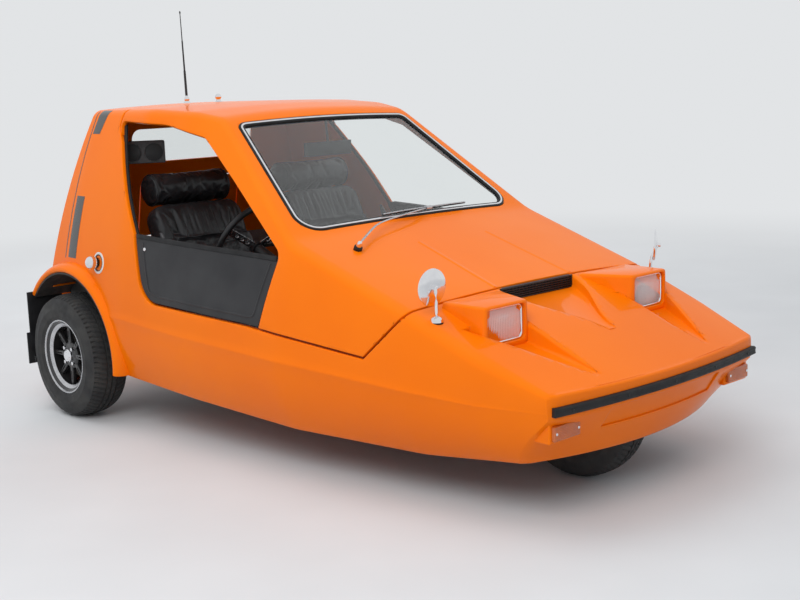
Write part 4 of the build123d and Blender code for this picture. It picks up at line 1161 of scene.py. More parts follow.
    def scoop_tools(self) -> list[Piece]:
        """Hollows ahead of the lamps and of the grille."""
        tools = []
        for side in Side:
            s = side.value
            rings = []
            for step in range(self.scoop_rings + 1):
                share = step / self.scoop_rings
                x = 0.995 + 0.335 * share
                inner = s * (0.262 + 0.002 * share)
                outer = s * (0.478 + (0.275 - 0.478) * share)
                floor = 0.484 + (0.4155 - 0.484) * share
                ring = self.rim(x, inner, floor, -s)[::-1] + self.rim(x, outer, floor, s)
                rings.append([Vector((x - 0.004 * z - 0.0015 * y, y, z)) for y, z in ring])
            tools.append(self.skin.grown(loft("lamp_scoop", rings)))
        rings = []
        for step in range(self.scoop_rings + 1):
            share = step / self.scoop_rings
            x = 0.863 + 0.302 * share
            half = self.grille_half - 0.156 * (3 * share ** 2 - 2 * share ** 3)
            floor = 0.564 + (0.4865 - 0.564) * share
            ring = self.rim(x, -half, floor, -1)[::-1] + self.rim(x, half, floor, 1)
            rings.append([Vector((x + 0.002 - 0.004 * z - 0.0015 * y, y, z)) for y, z in ring])
        tools.append(self.skin.grown(loft("grille_scoop", rings)))
        return tools

    def pod(self, side: Side) -> Piece:
        """Raised housing round one headlamp, wider towards the grille."""
        s = side.value
        near = [(1.050, s * 0.256, 0.470), (1.050, s * 0.456, 0.470), (1.050, s * 0.450, 0.606),
                (1.050, s * 0.262, 0.606)]
        far = [(0.876, s * 0.196, 0.470), (0.876, s * 0.466, 0.470), (0.876, s * 0.452, 0.607),
               (0.876, s * 0.196, 0.607)]
        piece = loft("pod", [[Vector(p) for p in ring] for ring in (near, far)])
        soften(piece, 0.010, 3)
        return self.skin.grown(piece)

    def plate_seat(self) -> Piece:
        """Shallow bare seat for a number plate under the nose strip."""
        rings = []
        for step in range(25):
            y = -0.272 + 0.544 * step / 24
            low, high = 0.266, 0.330
            rings.append([Vector((self.skin.nose_limit(y, low) - self.plate_sink, y, low)),
                          Vector((self.skin.nose_limit(y, high) - self.plate_sink, y, high)),
                          Vector((1.46, y, high)), Vector((1.46, y, low))])
        return self.skin.grown(loft("plate_seat", rings))

    def lamp_tool(self, side: Side) -> Piece:
        """Opening in the front of a pod."""
        y = side.value * self.pod_y
        outline = round_box(y - 0.082, 0.489, y + 0.082, 0.597, 0.016)
        return self.skin.tool(front_prism("lamp_tool", outline, 0.950, 1.0515))

    def wheel_tools(self) -> list[Piece]:
        """Room round each rear wheel."""
        tools = []
        for side in Side:
            s = side.value
            tools.append(drum("wheel_room", (-0.925, s * 0.53, 0.25), (-0.925, s * BESIDE, 0.25), 0.315, sides=96))
            y0, y1 = side.span(0.50, BESIDE)
            tools.append(block("behind_wheel", (-1.5, y0, 0), (-1.075, y1, 0.452)))
            y0, y1 = side.span(0.53, BESIDE)
            tools.append(block("below_wheel", (-1.215, y0, 0), (-0.614, y1, 0.25)))
        return [self.skin.tool(piece) for piece in tools]

    def ledge(self) -> Piece:
        """Lower tail between the wheels."""
        profile = rounded([(-1.040, 0.602), (-1.122, 0.568), (-1.331, 0.508), (-1.371, 0.462), (-1.371, 0.392),
                           (-1.290, 0.285), (-1.040, 0.285)], [0.0, 0.02, 0.02, 0.02, 0.02, 0.012, 0.0], 6)
        return self.skin.grown(side_prism("ledge", profile, -0.5, 0.5))

    def build(self) -> None:
        """Cut and dress the two mouldings, then add what sits on and in them."""
        skin = self.skin
        canopy = duplicate(skin.form, "canopy_moulding")
        carve(canopy, self.canopy_zone(self.gap), Carve.KEEP)
        for tool in (*self.doors(), self.screen_tool(0.0)):
            carve(canopy, tool, Carve.CUT)
        skin.shell(canopy, self.wall, self.edge)
        dress(canopy, PAINT, Body.CANOPY, ("canopy_shell",))

        fixed = duplicate(skin.form, "fixed_form")
        grille_cut = [(-0.168, 0.570), (0.168, 0.570), (0.168, 0.640), (-0.168, 0.640)]
        for how, tools in (
            (Carve.CUT, self.scoop_tools()),
            (Carve.JOIN, [*(self.pod(side) for side in Side), self.ledge()]),
            (Carve.CUT, [self.canopy_zone(-self.gap), *self.doors(), *self.wheel_tools(),
                         *(self.lamp_tool(side) for side in Side),
                         skin.tool(front_prism("grille_cut", grille_cut, 0.798, 0.869)), self.plate_seat(),
                         self.tail_tool(*self.REAR_WINDOW), self.tail_tool(*self.BOOT)]),
        ):
            for tool in tools:
                carve(fixed, tool, how)
        fixed.name = "fixed_moulding"
        skin.shell(fixed, self.wall, self.edge)
        dress(fixed, PAINT, Body.CAR, ("tub", "nose_panel", "rear_body"))
        for side in Side:
            self.build_ridge(side)
        self.build_inside()
        self.build_hinge_feet()

    def build_inside(self) -> None:
        """Floor, bulkheads and inner walls of the tub, without its outer skin."""
        inside = cad_copy("tub", "tub_inside")
        mesh = bmesh.from_edit_mesh(inside.data)
        near = [face for face in mesh.faces
                if self.skin.tree.find_nearest(face.calc_center_median())[3] < 0.014]
        bmesh.ops.delete(mesh, geom=near, context="FACES")
        bmesh.update_edit_mesh(inside.data)
        deselect()
        dress(inside, INNER_PAINT, Body.CAR, ("tub",), 34)

    def build_ridge(self, side: Side) -> None:
        """Low ridge along the edge of the bonnet's centre panel."""
        line = []
        for step in range(33):
            x = 0.500 + 0.350 * step / 32
            y = side.value * (0.168 + 0.018 * step / 32)
            line.append(self.skin.from_above(x, y))
        inner = -0.022 * side.value
        profile = [(inner, -0.0012), (inner * 0.4, 0.0012), (0.0, 0.0026), (-inner * 0.12, 0.0018),
                   (-inner * 0.35, -0.0012)]
        ridge = swept("bonnet_ridge_" + side.label, line, profile, False)
        dress(ridge, PAINT, Body.CANOPY, ("canopy_shell",), 60)

    def build_hinge_feet(self) -> None:
        """Feet of the boot lid's hinges, on the tail."""
        pivot_z = 0.883
        pivot_x = self.skin.tail_x(pivot_z) - 0.006
        outline = [(-0.004, -0.002), (0, -0.004), (0.009, 0.003), (0.013, 0.018), (0.001, 0.018)]
        for side in Side:
            y0, y1 = side.value * 0.1603, side.value * 0.186
            foot = side_prism("hinge_foot_" + side.label, [(pivot_x + x, pivot_z + z) for x, z in outline], y0, y1)
            pin = drum("pin", (pivot_x, y0, pivot_z), (pivot_x, y1, pivot_z), 0.005, sides=24)
            carve(foot, pin, Carve.JOIN)
            soften(foot, 0.001)
            dress(foot, PLASTIC, Body.CAR, ("rear_body",))


@dataclass
class Glazing:
    """Windscreen rubber with its bright insert, and the side screens."""

    panels: Panels
    seal_width: float = 0.022
    seal_proud: float = 0.004
    seal_depth: float = 0.014
    insert_half: float = 0.0038
    screen_set: float = 0.006
    screen_wall: float = 0.012
    bead: float = 0.0045
    border: float = 0.024

    INNER = ((-0.742, 1.130), (-0.474, 0.738), (-0.400, 0.508), (-0.200, 0.502), (0.240, 0.488),
             (0.298, 0.720), (-0.022, 0.934), (-0.232, 1.074), (-0.440, 1.118))
    INNER_RADII = (0.014, 0.060, 0.112, 0.060, 0.004, 0.040, 0.300, 0.060, 0.300)
    TOP = ((-0.520, 0.741), (0.308, 0.712))

    def seal(self) -> None:
        """Rubber round the windscreen and the bright strip let into it."""
        half, rise, sink = self.seal_width / 2, self.seal_proud, -self.seal_depth
        profile = [(-half, sink), (half, sink), (half, 0.001), (half - 0.002, rise * 0.7), (half - 0.006, rise),
                   (0.0045, rise), (0.0035, rise - 0.0015), (-0.0035, rise - 0.0015), (-0.0045, rise),
                   (-half + 0.006, rise), (-half + 0.002, rise * 0.7), (-half, 0.001)]
        line = self.panels.screen_line(half)
        rubber = swept("screen_rubber", line, profile, True)
        dress(rubber, RUBBER, Body.CANOPY, ("windscreen_seal",), 50)
        wide, top = self.insert_half, rise + 0.0016
        bright = [(-wide, rise - 0.003), (wide, rise - 0.003), (wide, rise), (wide * 0.6, top - 0.0004), (0, top),
                  (-wide * 0.6, top - 0.0004), (-wide, rise)]
        insert = swept("screen_insert", line, bright, True)
        dress(insert, CHROME, Body.CANOPY, ("windscreen_seal",), 60)

    def on_screen(self, side: Side, points: Sequence[Point2], lift: float) -> list[tuple[Vector, Vector]]:
        """Points of the side view laid on one side screen.

        Args:
            side: which side of the car.
            points: places as (x, z).
            lift: height over the outer skin.

        Returns:
            Points with the skin's direction there.
        """
        out = []
        for x, z in points:
            spot, normal = self.panels.skin.from_side(side, x, z)
            out.append((spot + normal * lift, normal))
        return out

    def side_screen(self, side: Side) -> None:
        """Black lower screen with a bound top edge and a raised border."""
        skin = self.panels.skin
        outline = rounded(self.INNER, self.INNER_RADII, 12)
        tool = skin.tool(side_prism("screen_shape", outline, *side.span(0.4, BESIDE)))
        below = [self.TOP[0], self.TOP[1], (0.330, 0.600), (0.330, 0.440), (-0.520, 0.440)]
        carve(tool, skin.tool(side_prism("below_line", below, -0.9, 0.9)), Carve.KEEP)
        node = "side_screen_" + side.label
        panel = skin.patch(node + "_panel", tool, -self.screen_set, self.screen_wall)
        soften(panel, 0.0012, 2, 60)
        dress(panel, MOULDED, Body.CANOPY, (node,), 44)
        slope = (self.TOP[1][1] - self.TOP[0][1]) / (self.TOP[1][0] - self.TOP[0][0])
        rail = dense([(-0.462, 0.741 + slope * 0.058 - 0.006), (0.288, 0.7065)], 0.012, False)
        edge = swept(node + "_binding", self.on_screen(side, rail, -self.screen_set), [(-0.008, -0.013),
                                                                                       (0.008, -0.013),
                                                                                       (0.009, 0.001), (0.006, 0.004),
                                                                                       (-0.006, 0.004),
                                                                                       (-0.009, 0.001)], False)
        soften(edge, 0.0012)
        dress(edge, RUBBER, Body.CANOPY, (node,), 50)
        step = self.border
        corners = [(-0.450 + step, 0.712), (-0.395 + step, 0.540), (-0.372 + step, 0.512 + step),
                   (-0.330 + step, 0.506 + step), (-0.200, 0.503 + step), (0.236 - step, 0.489 + step),
                   (0.286 - step, 0.690)]
        path = dense(corners, 0.012, False)
        for _ in range(3):
            path = [path[0]] + [((a[0] + 2 * b[0] + c[0]) / 4, (a[1] + 2 * b[1] + c[1]) / 4)
                                for a, b, c in zip(path, path[1:], path[2:])] + [path[-1]]
        half = self.bead
        bead = swept(node + "_border", self.on_screen(side, path, -self.screen_set),
                     [(-half, -0.001), (half, -0.001), (half * 0.7, 0.0016), (0, 0.0024), (-half * 0.7, 0.0016)], False)
        dress(bead, MOULDED, Body.CANOPY, (node,), 70)
        stud = self.on_screen(side, [(-0.412, 0.690)], -self.screen_set)[0]
        button = turned(node + "_stud", [(0.0, 0), (0.0, 0.007), (0.002, 0.0065), (0.004, 0.004), (0.0045, 0)],
                        stud[0], stud[1], 24)
        dress(button, CHROME, Body.CANOPY, (node,), 40)

    def build(self) -> None:
        """Make the seal and both side screens."""
        self.seal()
        for side in Side:
            self.side_screen(side)


@dataclass
class NoseTrim:
    """Rubber strip, indicators and grille of the nose."""

    skin: BodySkin
    strip_z: Point2 = (0.338, 0.372)
    proud: float = 0.014
    screw_r: float = 0.0042
    lamp_y: float = 0.436
    lamp_half: float = 0.060
    lamp_z: Point2 = (0.266, 0.316)
    lamp_x: float = 1.338
    grille_x: float = 0.863
    grille_half: float = 0.176
    grille_z: Point2 = (0.564, 0.606)
    rows: int = 5
    bars: int = 22

    def screw(self, name: str, at: Vector, axis: Vector) -> Piece:
        """Small domed screw with a cross slot.

        Args:
            name: the piece's name.
            at: where its head rests.
            axis: direction that it faces.

        Returns:
            The screw.
        """
        r = self.screw_r
        head = turned(name, [(-0.002, 0), (-0.002, r), (0.0006, r), (0.0018, r * 0.7), (0.0022, 0)], at, axis, 20)
        facing = axis.normalized().to_track_quat("Z", "Y").to_matrix()
        for turn in (0, 1):
            size = (r * 0.8, r * 0.14, 0.001) if turn else (r * 0.14, r * 0.8, 0.001)
            slot = block("slot", [-v for v in size], size)
            slot.data.transform(Matrix.Translation(at + axis.normalized() * 0.0022) @ facing.to_4x4())
            carve(head, slot, Carve.CUT)
        smooth(head, 35)
        return head

    def strip(self) -> None:
        """Strip along the nose's edge with its screws."""
        z = sum(self.strip_z) / 2 + 0.002
        half = (self.strip_z[1] - self.strip_z[0]) / 2 - 0.0035
        line = []
        for step in range(65):
            y = -0.506 + 1.012 * step / 64
            slope = 2 * 0.040 * y / 0.506 ** 2
            line.append((Vector((self.skin.nose_limit(y, z), y, z)), Vector((1, slope, 0)).normalized()))
        out = self.proud
        profile = [(-half, -0.012), (half, -0.012), (half, out - 0.006), (half - 0.003, out - 0.001),
                   (half - 0.007, out), (half - 0.009, out - 0.0015), (-half + 0.009, out - 0.0015),
                   (-half + 0.007, out), (-half + 0.003, out - 0.001), (-half, out - 0.006)]
        strip = swept("nose_strip", line, profile, False)
        soften(strip, 0.001, 2, 60)
        dress(strip, RUBBER, Body.CAR, ("bumper_strip",), 50)
        for index in range(5):
            spot, normal = line[4 + 14 * index]
            screw = self.screw(f"strip_screw_{index}", spot + normal * (out - 0.0014), normal)
            dress(screw, PLASTIC, Body.CAR, ("bumper_strip",))

    def indicator(self, side: Side) -> None:
        """Amber lens with flutes, on a base in the body's paint."""
        y0, y1 = (side.value * self.lamp_y - self.lamp_half, side.value * self.lamp_y + self.lamp_half)
        z0, z1 = self.lamp_z
        base = block("indicator_base_" + side.label, (1.240, y0 - 0.006, z0 - 0.006),
                     (self.lamp_x - 0.012, y1 + 0.006, z1 + 0.006))
        soften(base, 0.005, 3)
        lens = block("indicator_lens_" + side.label, (1.260, y0 + 0.003, z0 + 0.003),
                     (self.lamp_x, y1 - 0.003, z1 - 0.003))
        soften(lens, 0.005, 4)
        for step in range(1, 10):
            z = z0 + 0.003 + (z1 - z0 - 0.006) * step / 10
            groove = drum("groove", (self.lamp_x + 0.0012, y0 - 0.01, z), (self.lamp_x + 0.0012, y1 + 0.01, z), 0.0022,
                          sides=12)
            carve(lens, groove, Carve.CUT)
        for piece, finish in ((base, PAINT), (lens, AMBER)):
            carve(piece, self.skin.form, Carve.CUT, keep_tool=True)
            dress(piece, finish, Body.CAR, ("front_indicators",), 35)
        for index, y in enumerate((y0 + 0.012, y1 - 0.012)):
            screw = self.screw(f"indicator_screw_{side.label}_{index}", Vector((self.lamp_x, y, (z0 + z1) / 2)),
                               Vector((1, 0, 0)))
            dress(screw, CHROME, Body.CAR, ("front_indicators",))

    def grille(self) -> None:
        """Frame with leaning louvres and upright bars behind them."""
        z0, z1 = self.grille_z
        x, half = self.grille_x, self.grille_half
        frame_piece = block("grille_frame", (x, -half, z0), (x + 0.006, half, z1))
        hole = block("hole", (x - 0.01, -half + 0.006, z0 + 0.004), (x + 0.02, half - 0.006, z1 - 0.004))
        carve(frame_piece, hole, Carve.CUT)
        soften(frame_piece, 0.001)
        parts = [frame_piece]
        pitch = (z1 - z0 - 0.006) / self.rows
        for row in range(self.rows + 1):
            z = z0 + 0.003 + row * pitch
            slat = side_prism("slat", [(x - 0.005, z + 0.0032), (x - 0.005, z + 0.0014), (x + 0.0066, z - 0.0020),
                                       (x + 0.0066, z + 0.0002)], -half + 0.004, half - 0.004)
            parts.append(slat)
        for bar in range(self.bars):
            y = -half + (bar + 0.5) * 2 * half / self.bars
            parts.append(block("bar", (x - 0.006, y - 0.0012, z0 + 0.002), (x + 0.002, y + 0.0012, z1 - 0.002)))
        whole = joined("grille_louvres", parts)
        dress(whole, PLASTIC, Body.CAR, ("grille",), 30)

    def build(self) -> None:
        """Make the strip, both indicators and the grille."""
        self.strip()
        for side in Side:
            self.indicator(side)
        self.grille()


@dataclass
class Headlamp:
    """One lamp: bezel, fluted lens, reflector and bulb."""

    side: Side
    y: float = 0.356
    z: float = 0.543
    front_x: float = 1.040
    width: float = 0.160
    height: float = 0.104
    corner: float = 0.016
    flutes: int = 22

    def outline(self, inset: float, scale: float = 1.0) -> list[Point2]:
        """Rounded rectangle in the front view.

        Args:
            inset: how far inside the lamp's edge.
            scale: size against the lamp's, about its centre.

        Returns:
            The outline's points.
        """
        w, h = (self.width / 2 - inset) * scale, (self.height / 2 - inset) * scale
        r = max(self.corner - inset * 0.5, 0.004) * scale
        y = self.side.value * self.y
        return round_box(y - w, self.z - h, y + w, self.z + h, r, 6)

    def rings(self, stations: Sequence[tuple[float, float, float]]) -> list[list[Vector]]:
        """Rings at stations given as (x, inset, scale)."""
        return [[Vector((x, y, z)) for y, z in self.outline(inset, scale)] for x, inset, scale in stations]

    def build(self) -> None:
        """Make and dress the lamp."""
        node = "headlamp_" + self.side.label
        x = self.front_x
        bezel = loft(node + "_bezel", self.rings([(x - 0.020, -0.002, 1), (x - 0.003, -0.002, 1),
                                                  (x - 0.0008, -0.001, 1), (x, 0.001, 1), (x - 0.0008, 0.0032, 1),
                                                  (x - 0.004, 0.0052, 1), (x - 0.020, 0.0062, 1),
                                                  (x - 0.020, -0.002, 1)]), caps=False)
        dress(bezel, CHROME, Body.CAR, (node,), 50)
        bowl = loft(node + "_bowl", self.rings([
            (x - 0.012, 0.005, 1), (x - 0.022, 0.006, 0.97), (x - 0.036, 0.006, 0.86), (x - 0.052, 0.006, 0.66),
            (x - 0.064, 0.006, 0.36), (x - 0.067, 0.006, 0.16)]), caps=False)
        modify(bowl, "SOLIDIFY", thickness=0.0015, offset=1.0)
        dress(bowl, REFLECTOR, Body.CAR, (node,), 60)
        back = loft(node + "_back", self.rings([
            (x - 0.018, 0.002, 1), (x - 0.030, 0.002, 0.96), (x - 0.070, 0.002, 0.55), (x - 0.070, 0.002, 0.20)]))
        shell = loft("hollow", self.rings([
            (x - 0.010, 0.0055, 1), (x - 0.030, 0.0055, 0.955), (x - 0.069, 0.0055, 0.50)]))
        carve(back, shell, Carve.CUT)
        dress(back, FRAME_BLACK, Body.CAR, (node,), 30)
        y = self.side.value * self.y
        w, h = self.width / 2, self.height / 2
        columns, rows = self.flutes * 8 + 1, 15

        def place(i: int, j: int) -> Vector:
            """Point of the lens: gently domed, with upright flutes inside a plain edge."""
            u, v = 2 * i / (columns - 1) - 1, 2 * j / (rows - 1) - 1
            dome = 0.006 * (1 - 0.6 * u * u - 0.4 * v * v)
            flute = 0.0016 * abs(math.sin(math.pi * i / 8)) if abs(u) < 0.90 and -0.86 < v < 0.55 else 0.0
            return Vector((x - 0.009 + dome + flute, y + u * w, self.z + v * h))

        lens = sheet(node + "_lens", columns, rows, place)
        modify(lens, "SOLIDIFY", thickness=0.003, offset=0.0)
        edit_all(lens)
        bpy.ops.mesh.normals_make_consistent(inside=False)
        deselect()
        carve(lens, front_prism("lens_shape", self.outline(0.0050), x - 0.05, x + 0.02), Carve.KEEP)
        # The lens's pale, part-opaque finish is painted light that lightens the lamp in place of the reflections in its
        # bowl.
        dress(lens, LENS, Body.CAR, (node,), 35)
        bulb = turned(node + "_bulb", [(0, 0), (0, 0.007), (0.012, 0.007), (0.020, 0.005), (0.023, 0)],
                      (x - 0.064, y, self.z), (1, 0, 0), 24)
        dress(bulb, CHROME, Body.CAR, (node,), 50)


@dataclass
class WingMirror:
    """Round chrome mirror on a bent stalk."""

    side: Side
    foot: tuple[float, float, float] = (0.930, 0.527, 0.571)
    radius: float = 0.056

    SET = {Side.RIGHT: ((-0.018, 0.004, 0.092), (-1, 0, 0.05)), Side.LEFT: ((0.0, 0.030, 0.094), (-0.82, -0.57, 0.05))}

    def build(self) -> None:
        """Make and dress the mirror."""
        s = self.side.value
        node = "wing_mirror_" + self.side.label
        foot = Vector((self.foot[0], s * self.foot[1], self.foot[2]))
        lean, facing = self.SET[self.side]
        head = foot + Vector(lean)
        facing = Vector(facing).normalized()
        r = self.radius
        back = turned(node + "_back", [(0.0025, 0), (0.0025, r - 0.004), (0.0040, r - 0.0035), (0.0045, r - 0.001),
                                       (0.002, r), (-0.001, r - 0.001), (-0.004, r * 0.82), (-0.0062, r * 0.5),
                                       (-0.0072, r * 0.2), (-0.0074, 0)], head, facing, 72)
        glass = turned(node + "_glass", [(0.0022, 0), (0.0022, r - 0.0038), (0.0034, r - 0.0042), (0.0038, 0)],
                       head, facing, 72)
        knee = foot + Vector((0.004, s * 0.004, 0.070)) + Vector((0, 0.5 * (lean[1] + s * 0.004), 0))
        barrel = drum(node + "_barrel", head - facing * 0.005, head - facing * 0.019, 0.0085, 0.0075)
        soften(barrel, 0.0015, 3)
        bend = [foot + Vector((0, 0, 0.004)), foot + Vector((0.001, s * 0.001, 0.030)),
                foot + Vector((0.003, s * 0.003, 0.054)), knee + Vector((0, 0, 0.004)),
                knee.lerp(head, 0.45) + Vector((0.004, 0, 0.006)), head - facing * 0.012]
        stalk = pipe(node + "_stalk", bend, 0.0055, 16)
        modify(stalk, "SUBSURF", levels=1)
        base = turned(node + "_base", [(-0.022, 0), (-0.022, 0.0185), (0.000, 0.0185), (0.003, 0.017), (0.006, 0.013),
                                       (0.0085, 0.0075), (0.009, 0)], foot, (0, 0, 1), 48)
        pad = turned(node + "_pad", [(-0.024, 0), (-0.024, 0.0195), (-0.009, 0.0195), (-0.008, 0.0185), (-0.008, 0)],
                     foot, (0, 0, 1), 48)
        for piece, finish, crease in ((back, CHROME, 45), (glass, CHROME, 30), (barrel, CHROME, 40),
                                      (stalk, CHROME, 60), (base, CHROME, 40), (pad, RUBBER, 40)):
            dress(piece, finish, Body.CAR, (node,), crease)


@dataclass
class Wiper:
    """Single wiper lying along the foot of the windscreen."""

    pivot: tuple[float, float, float] = (0.478, -0.418, 0.734)
    knee: tuple[float, float, float] = (0.392, -0.250, 0.790)
    tip: tuple[float, float, float] = (0.321, 0.060, 0.810)
    blade: tuple[tuple[float, float, float], tuple[float, float, float]] = ((0.322, -0.160, 0.808),
                                                                            (0.318, 0.250, 0.812))

    def build(self) -> None:
        """Make and dress the wiper."""
        pivot, knee, tip = Vector(self.pivot), Vector(self.knee), Vector(self.tip)
        up = Vector((0.55, -0.10, 0.82)).normalized()
        grommet = turned("wiper_grommet", [(-0.016, 0), (-0.016, 0.014), (0.004, 0.014), (0.008, 0.0105), (0.009, 0)],
                         pivot, up, 40)
        cap = turned("wiper_cap", [(0.004, 0), (0.004, 0.0095), (0.018, 0.0090), (0.0235, 0.0065), (0.0255, 0)],
                     pivot, up, 40)
        start = pivot + up * 0.018
        bend = [start, start.lerp(knee, 0.35) + up * 0.004, start.lerp(knee, 0.7) + up * 0.003, knee + up * 0.001,
                knee.lerp(tip, 0.35) + up * 0.003, knee.lerp(tip, 0.7) + up * 0.002, tip + up * 0.001]
        arm = pipe("wiper_arm", bend, 0.0048, 12, 0.55)
        modify(arm, "SUBSURF", levels=1)
        first, last = (Vector(p) for p in self.blade)
        line = [first.lerp(last, step / 12) + up * 0.0035 * math.sin(math.pi * step / 12) for step in range(13)]
        holder = pipe("wiper_holder", line, 0.0042, 8, 0.6)
        rubber = pipe("wiper_rubber", [first.lerp(last, step / 12) - up * 0.004 for step in range(13)], 0.0035, 8, 0.6)
        clip = block("wiper_clip", tip - Vector((0.007, 0.014, 0.004)), tip + Vector((0.007, 0.014, 0.007)))
        soften(clip, 0.0015)
        for piece, finish, crease in ((grommet, RUBBER, 40), (cap, CHROME, 40), (arm, BRUSHED, 60),
                                      (holder, BRUSHED, 50), (rubber, RUBBER, 50), (clip, BRUSHED, 40)):
            dress(piece, finish, Body.CANOPY, ("wiper",), crease)


@dataclass
class RoadWheel:
    """One wheel: treaded tyre, spoked alloy rim, polished lip, cap and nuts."""

    node: str
    body: Body
    centre: tuple[float, float, float]
    outwards: int
    tyre_r: float
    tyre_w: float
    rim_w: float
    rim_r: float = 0.144
    seat: float = 0.034
    spokes: int = 8
    steps: int = 288
    groove: float = 0.0065

    def tread(self, along: float, step: int) -> float:
        """Depth of the tread pattern.

        Args:
            along: place across the tread, from -1 to 1.
            step: place round the tyre.

        Returns:
            How far the surface lies under the crown.
        """
        wide = abs(along)
        if wide > 0.98:
            return 0.0
        if 0.26 < wide < 0.36 or wide < 0.045:
            return self.groove
        shift = 1 if along > 0 else 0
        if wide >= 0.36:
            return self.groove * (0.8 if (step + 2 * shift + int(wide * 4)) % 4 == 0 else 0)
        return self.groove * (0.6 if (step + 3 * shift + int(wide * 12)) % 6 == 0 else 0)

    def tyre(self) -> Piece:
        """Tyre on the Y axis with rounded shoulders, blocks and sidewall ribs."""
        r, half, bead = self.tyre_r, self.tyre_w / 2, self.rim_r
        side = [(half - 0.012, bead), (half - 0.007, bead + 0.005), (half - 0.006, bead + 0.009),
                (half - 0.002, bead + 0.013), (half - 0.001, bead + 0.022), (half, bead + 0.034),
                (half + 0.0008, bead + 0.038), (half + 0.0008, bead + 0.041), (half - 0.001, bead + 0.044),
                (half - 0.003, r - 0.036), (half - 0.006, r - 0.026), (half - 0.010, r - 0.018)]
        crown = []
        marks = (1.0, 0.97, 0.965, 0.80, 0.795, 0.62, 0.615, 0.37, 0.355, 0.265, 0.25, 0.15, 0.05, 0.04)
        flat = half - 0.012
        for mark in [*marks, *[-m for m in reversed(marks)]]:
            crown.append((mark * flat, r - 0.014 * abs(mark) ** 3.2, mark))
        inner = [(-half + 0.026, bead), (-half + 0.016, bead + 0.040), (-half + 0.030, r - 0.024),
                 (half - 0.030, r - 0.024), (half - 0.016, bead + 0.040), (half - 0.026, bead)]
        rings = []
        for step, (cos, sin) in enumerate(unit_circle(self.steps)):
            ring = [*side, *((a, radius - self.tread(mark, step)) for a, radius, mark in crown),
                    *((-a, radius) for a, radius in reversed(side)), *inner]
            rings.append([Vector((radius * cos, a, radius * sin)) for a, radius in ring])
        piece = ringed(self.node + "_tread", rings)
        smooth(piece, 32)
        return piece

    def spun(self, name: str, profile: Sequence[Point2], steps: int) -> Piece:
        """Closed profile spun about the wheel's axis."""
        return turned(name, profile, (0, 0, 0), (0, 1, 0), steps)

    def spoke(self) -> Piece:
        """One tapered spoke with its slot, pointing along X."""
        seat, far = self.seat, self.rim_r - 0.026
        root, tip = 0.0105, 0.0085
        near = [(0.026, seat - 0.008, -root), (0.026, seat + 0.006, -root), (0.026, seat + 0.0085, -root * 0.6),
                (0.026, seat + 0.0085, root * 0.6), (0.026, seat + 0.006, root), (0.026, seat - 0.008, root)]
        out = [(far, seat - 0.004, -tip), (far, seat + 0.008, -tip), (far, seat + 0.010, -tip * 0.6),
               (far, seat + 0.010, tip * 0.6), (far, seat + 0.008, tip), (far, seat - 0.004, tip)]
        spoke = loft("spoke", [[Vector(p) for p in near], [Vector(p) for p in out]])
        soften(spoke, 0.0012, 2, 50)
        slot = block("slot", (0.062, seat - 0.02, -0.0026), (far - 0.020, seat + 0.02, 0.0026))
        carve(spoke, slot, Carve.CUT)
        return spoke

    def rim(self) -> list[Piece]:
        """Black casting, polished lip, and the chrome cap with its nuts."""
        half, r = self.rim_w / 2, self.rim_r
        drop = r - 0.022
        barrel = self.spun("barrel", [(half - 0.008, r), (half - 0.001, r), (half - 0.002, r - 0.004),
                                      (half - 0.015, drop + 0.004), (half - 0.020, drop - 0.007),
                                      (-half + 0.012, drop - 0.007), (-half, r - 0.006), (-half, r),
                                      (-half + 0.008, r), (-half + 0.016, drop), (half - 0.026, drop + 0.002)], 96)
        seat = self.seat
        hub = self.spun("hub", [(seat - 0.016, 0), (seat - 0.016, 0.052), (seat + 0.004, 0.052), (seat + 0.008, 0.048),
                             (seat + 0.010, 0.040), (seat + 0.010, 0)], 64)
        first = self.spoke()
        parts = [barrel, hub, first]
        for index in range(1, self.spokes):
            other = duplicate(first, "spoke")
            other.data.transform(Matrix.Rotation(2 * math.pi * index / self.spokes, 4, "Y"))
            parts.append(other)
        casting = joined(self.node + "_casting", parts)
        smooth(casting, 32)
        lip = self.spun(self.node + "_lip", [(half - 0.006, r + 0.0002), (half + 0.0006, r + 0.0002),
                                             (half + 0.0012, r - 0.0015), (half + 0.0004, r - 0.0046),
                                             (half - 0.0030, r - 0.0066), (half - 0.0045, r - 0.0064),
                                             (half - 0.004, r - 0.003)], 96)
        step = self.spun(self.node + "_step", [(half - 0.0128, drop + 0.0062), (half - 0.0140, drop + 0.0028),
                                            (half - 0.0185, drop - 0.0060), (half - 0.0205, drop - 0.0076),
                                            (half - 0.0205, drop - 0.0040), (half - 0.0165, drop + 0.0044)], 96)
        lip = joined(self.node + "_lip", [lip, step])
        smooth(lip, 35)
        cap = self.spun("cap", [(seat + 0.008, 0), (seat + 0.008, 0.0265), (seat + 0.020, 0.0255),
                                (seat + 0.0245, 0.0215), (seat + 0.0225, 0.0195), (seat + 0.0225, 0.0150),
                                (seat + 0.0255, 0.0120), (seat + 0.026, 0)], 48)
        bright = [cap]
        for index in range(4):
            angle = math.pi * (index / 2 + 0.25)
            x, z = 0.039 * math.cos(angle), 0.039 * math.sin(angle)
            nut = drum("nut", (x, seat + 0.006, z), (x, seat + 0.020, z), 0.0085, 0.0080, 6)
            soften(nut, 0.0012, 2)
            bright.append(nut)
        shine = joined(self.node + "_cap", bright)
        smooth(shine, 32)
        return [casting, lip, shine]

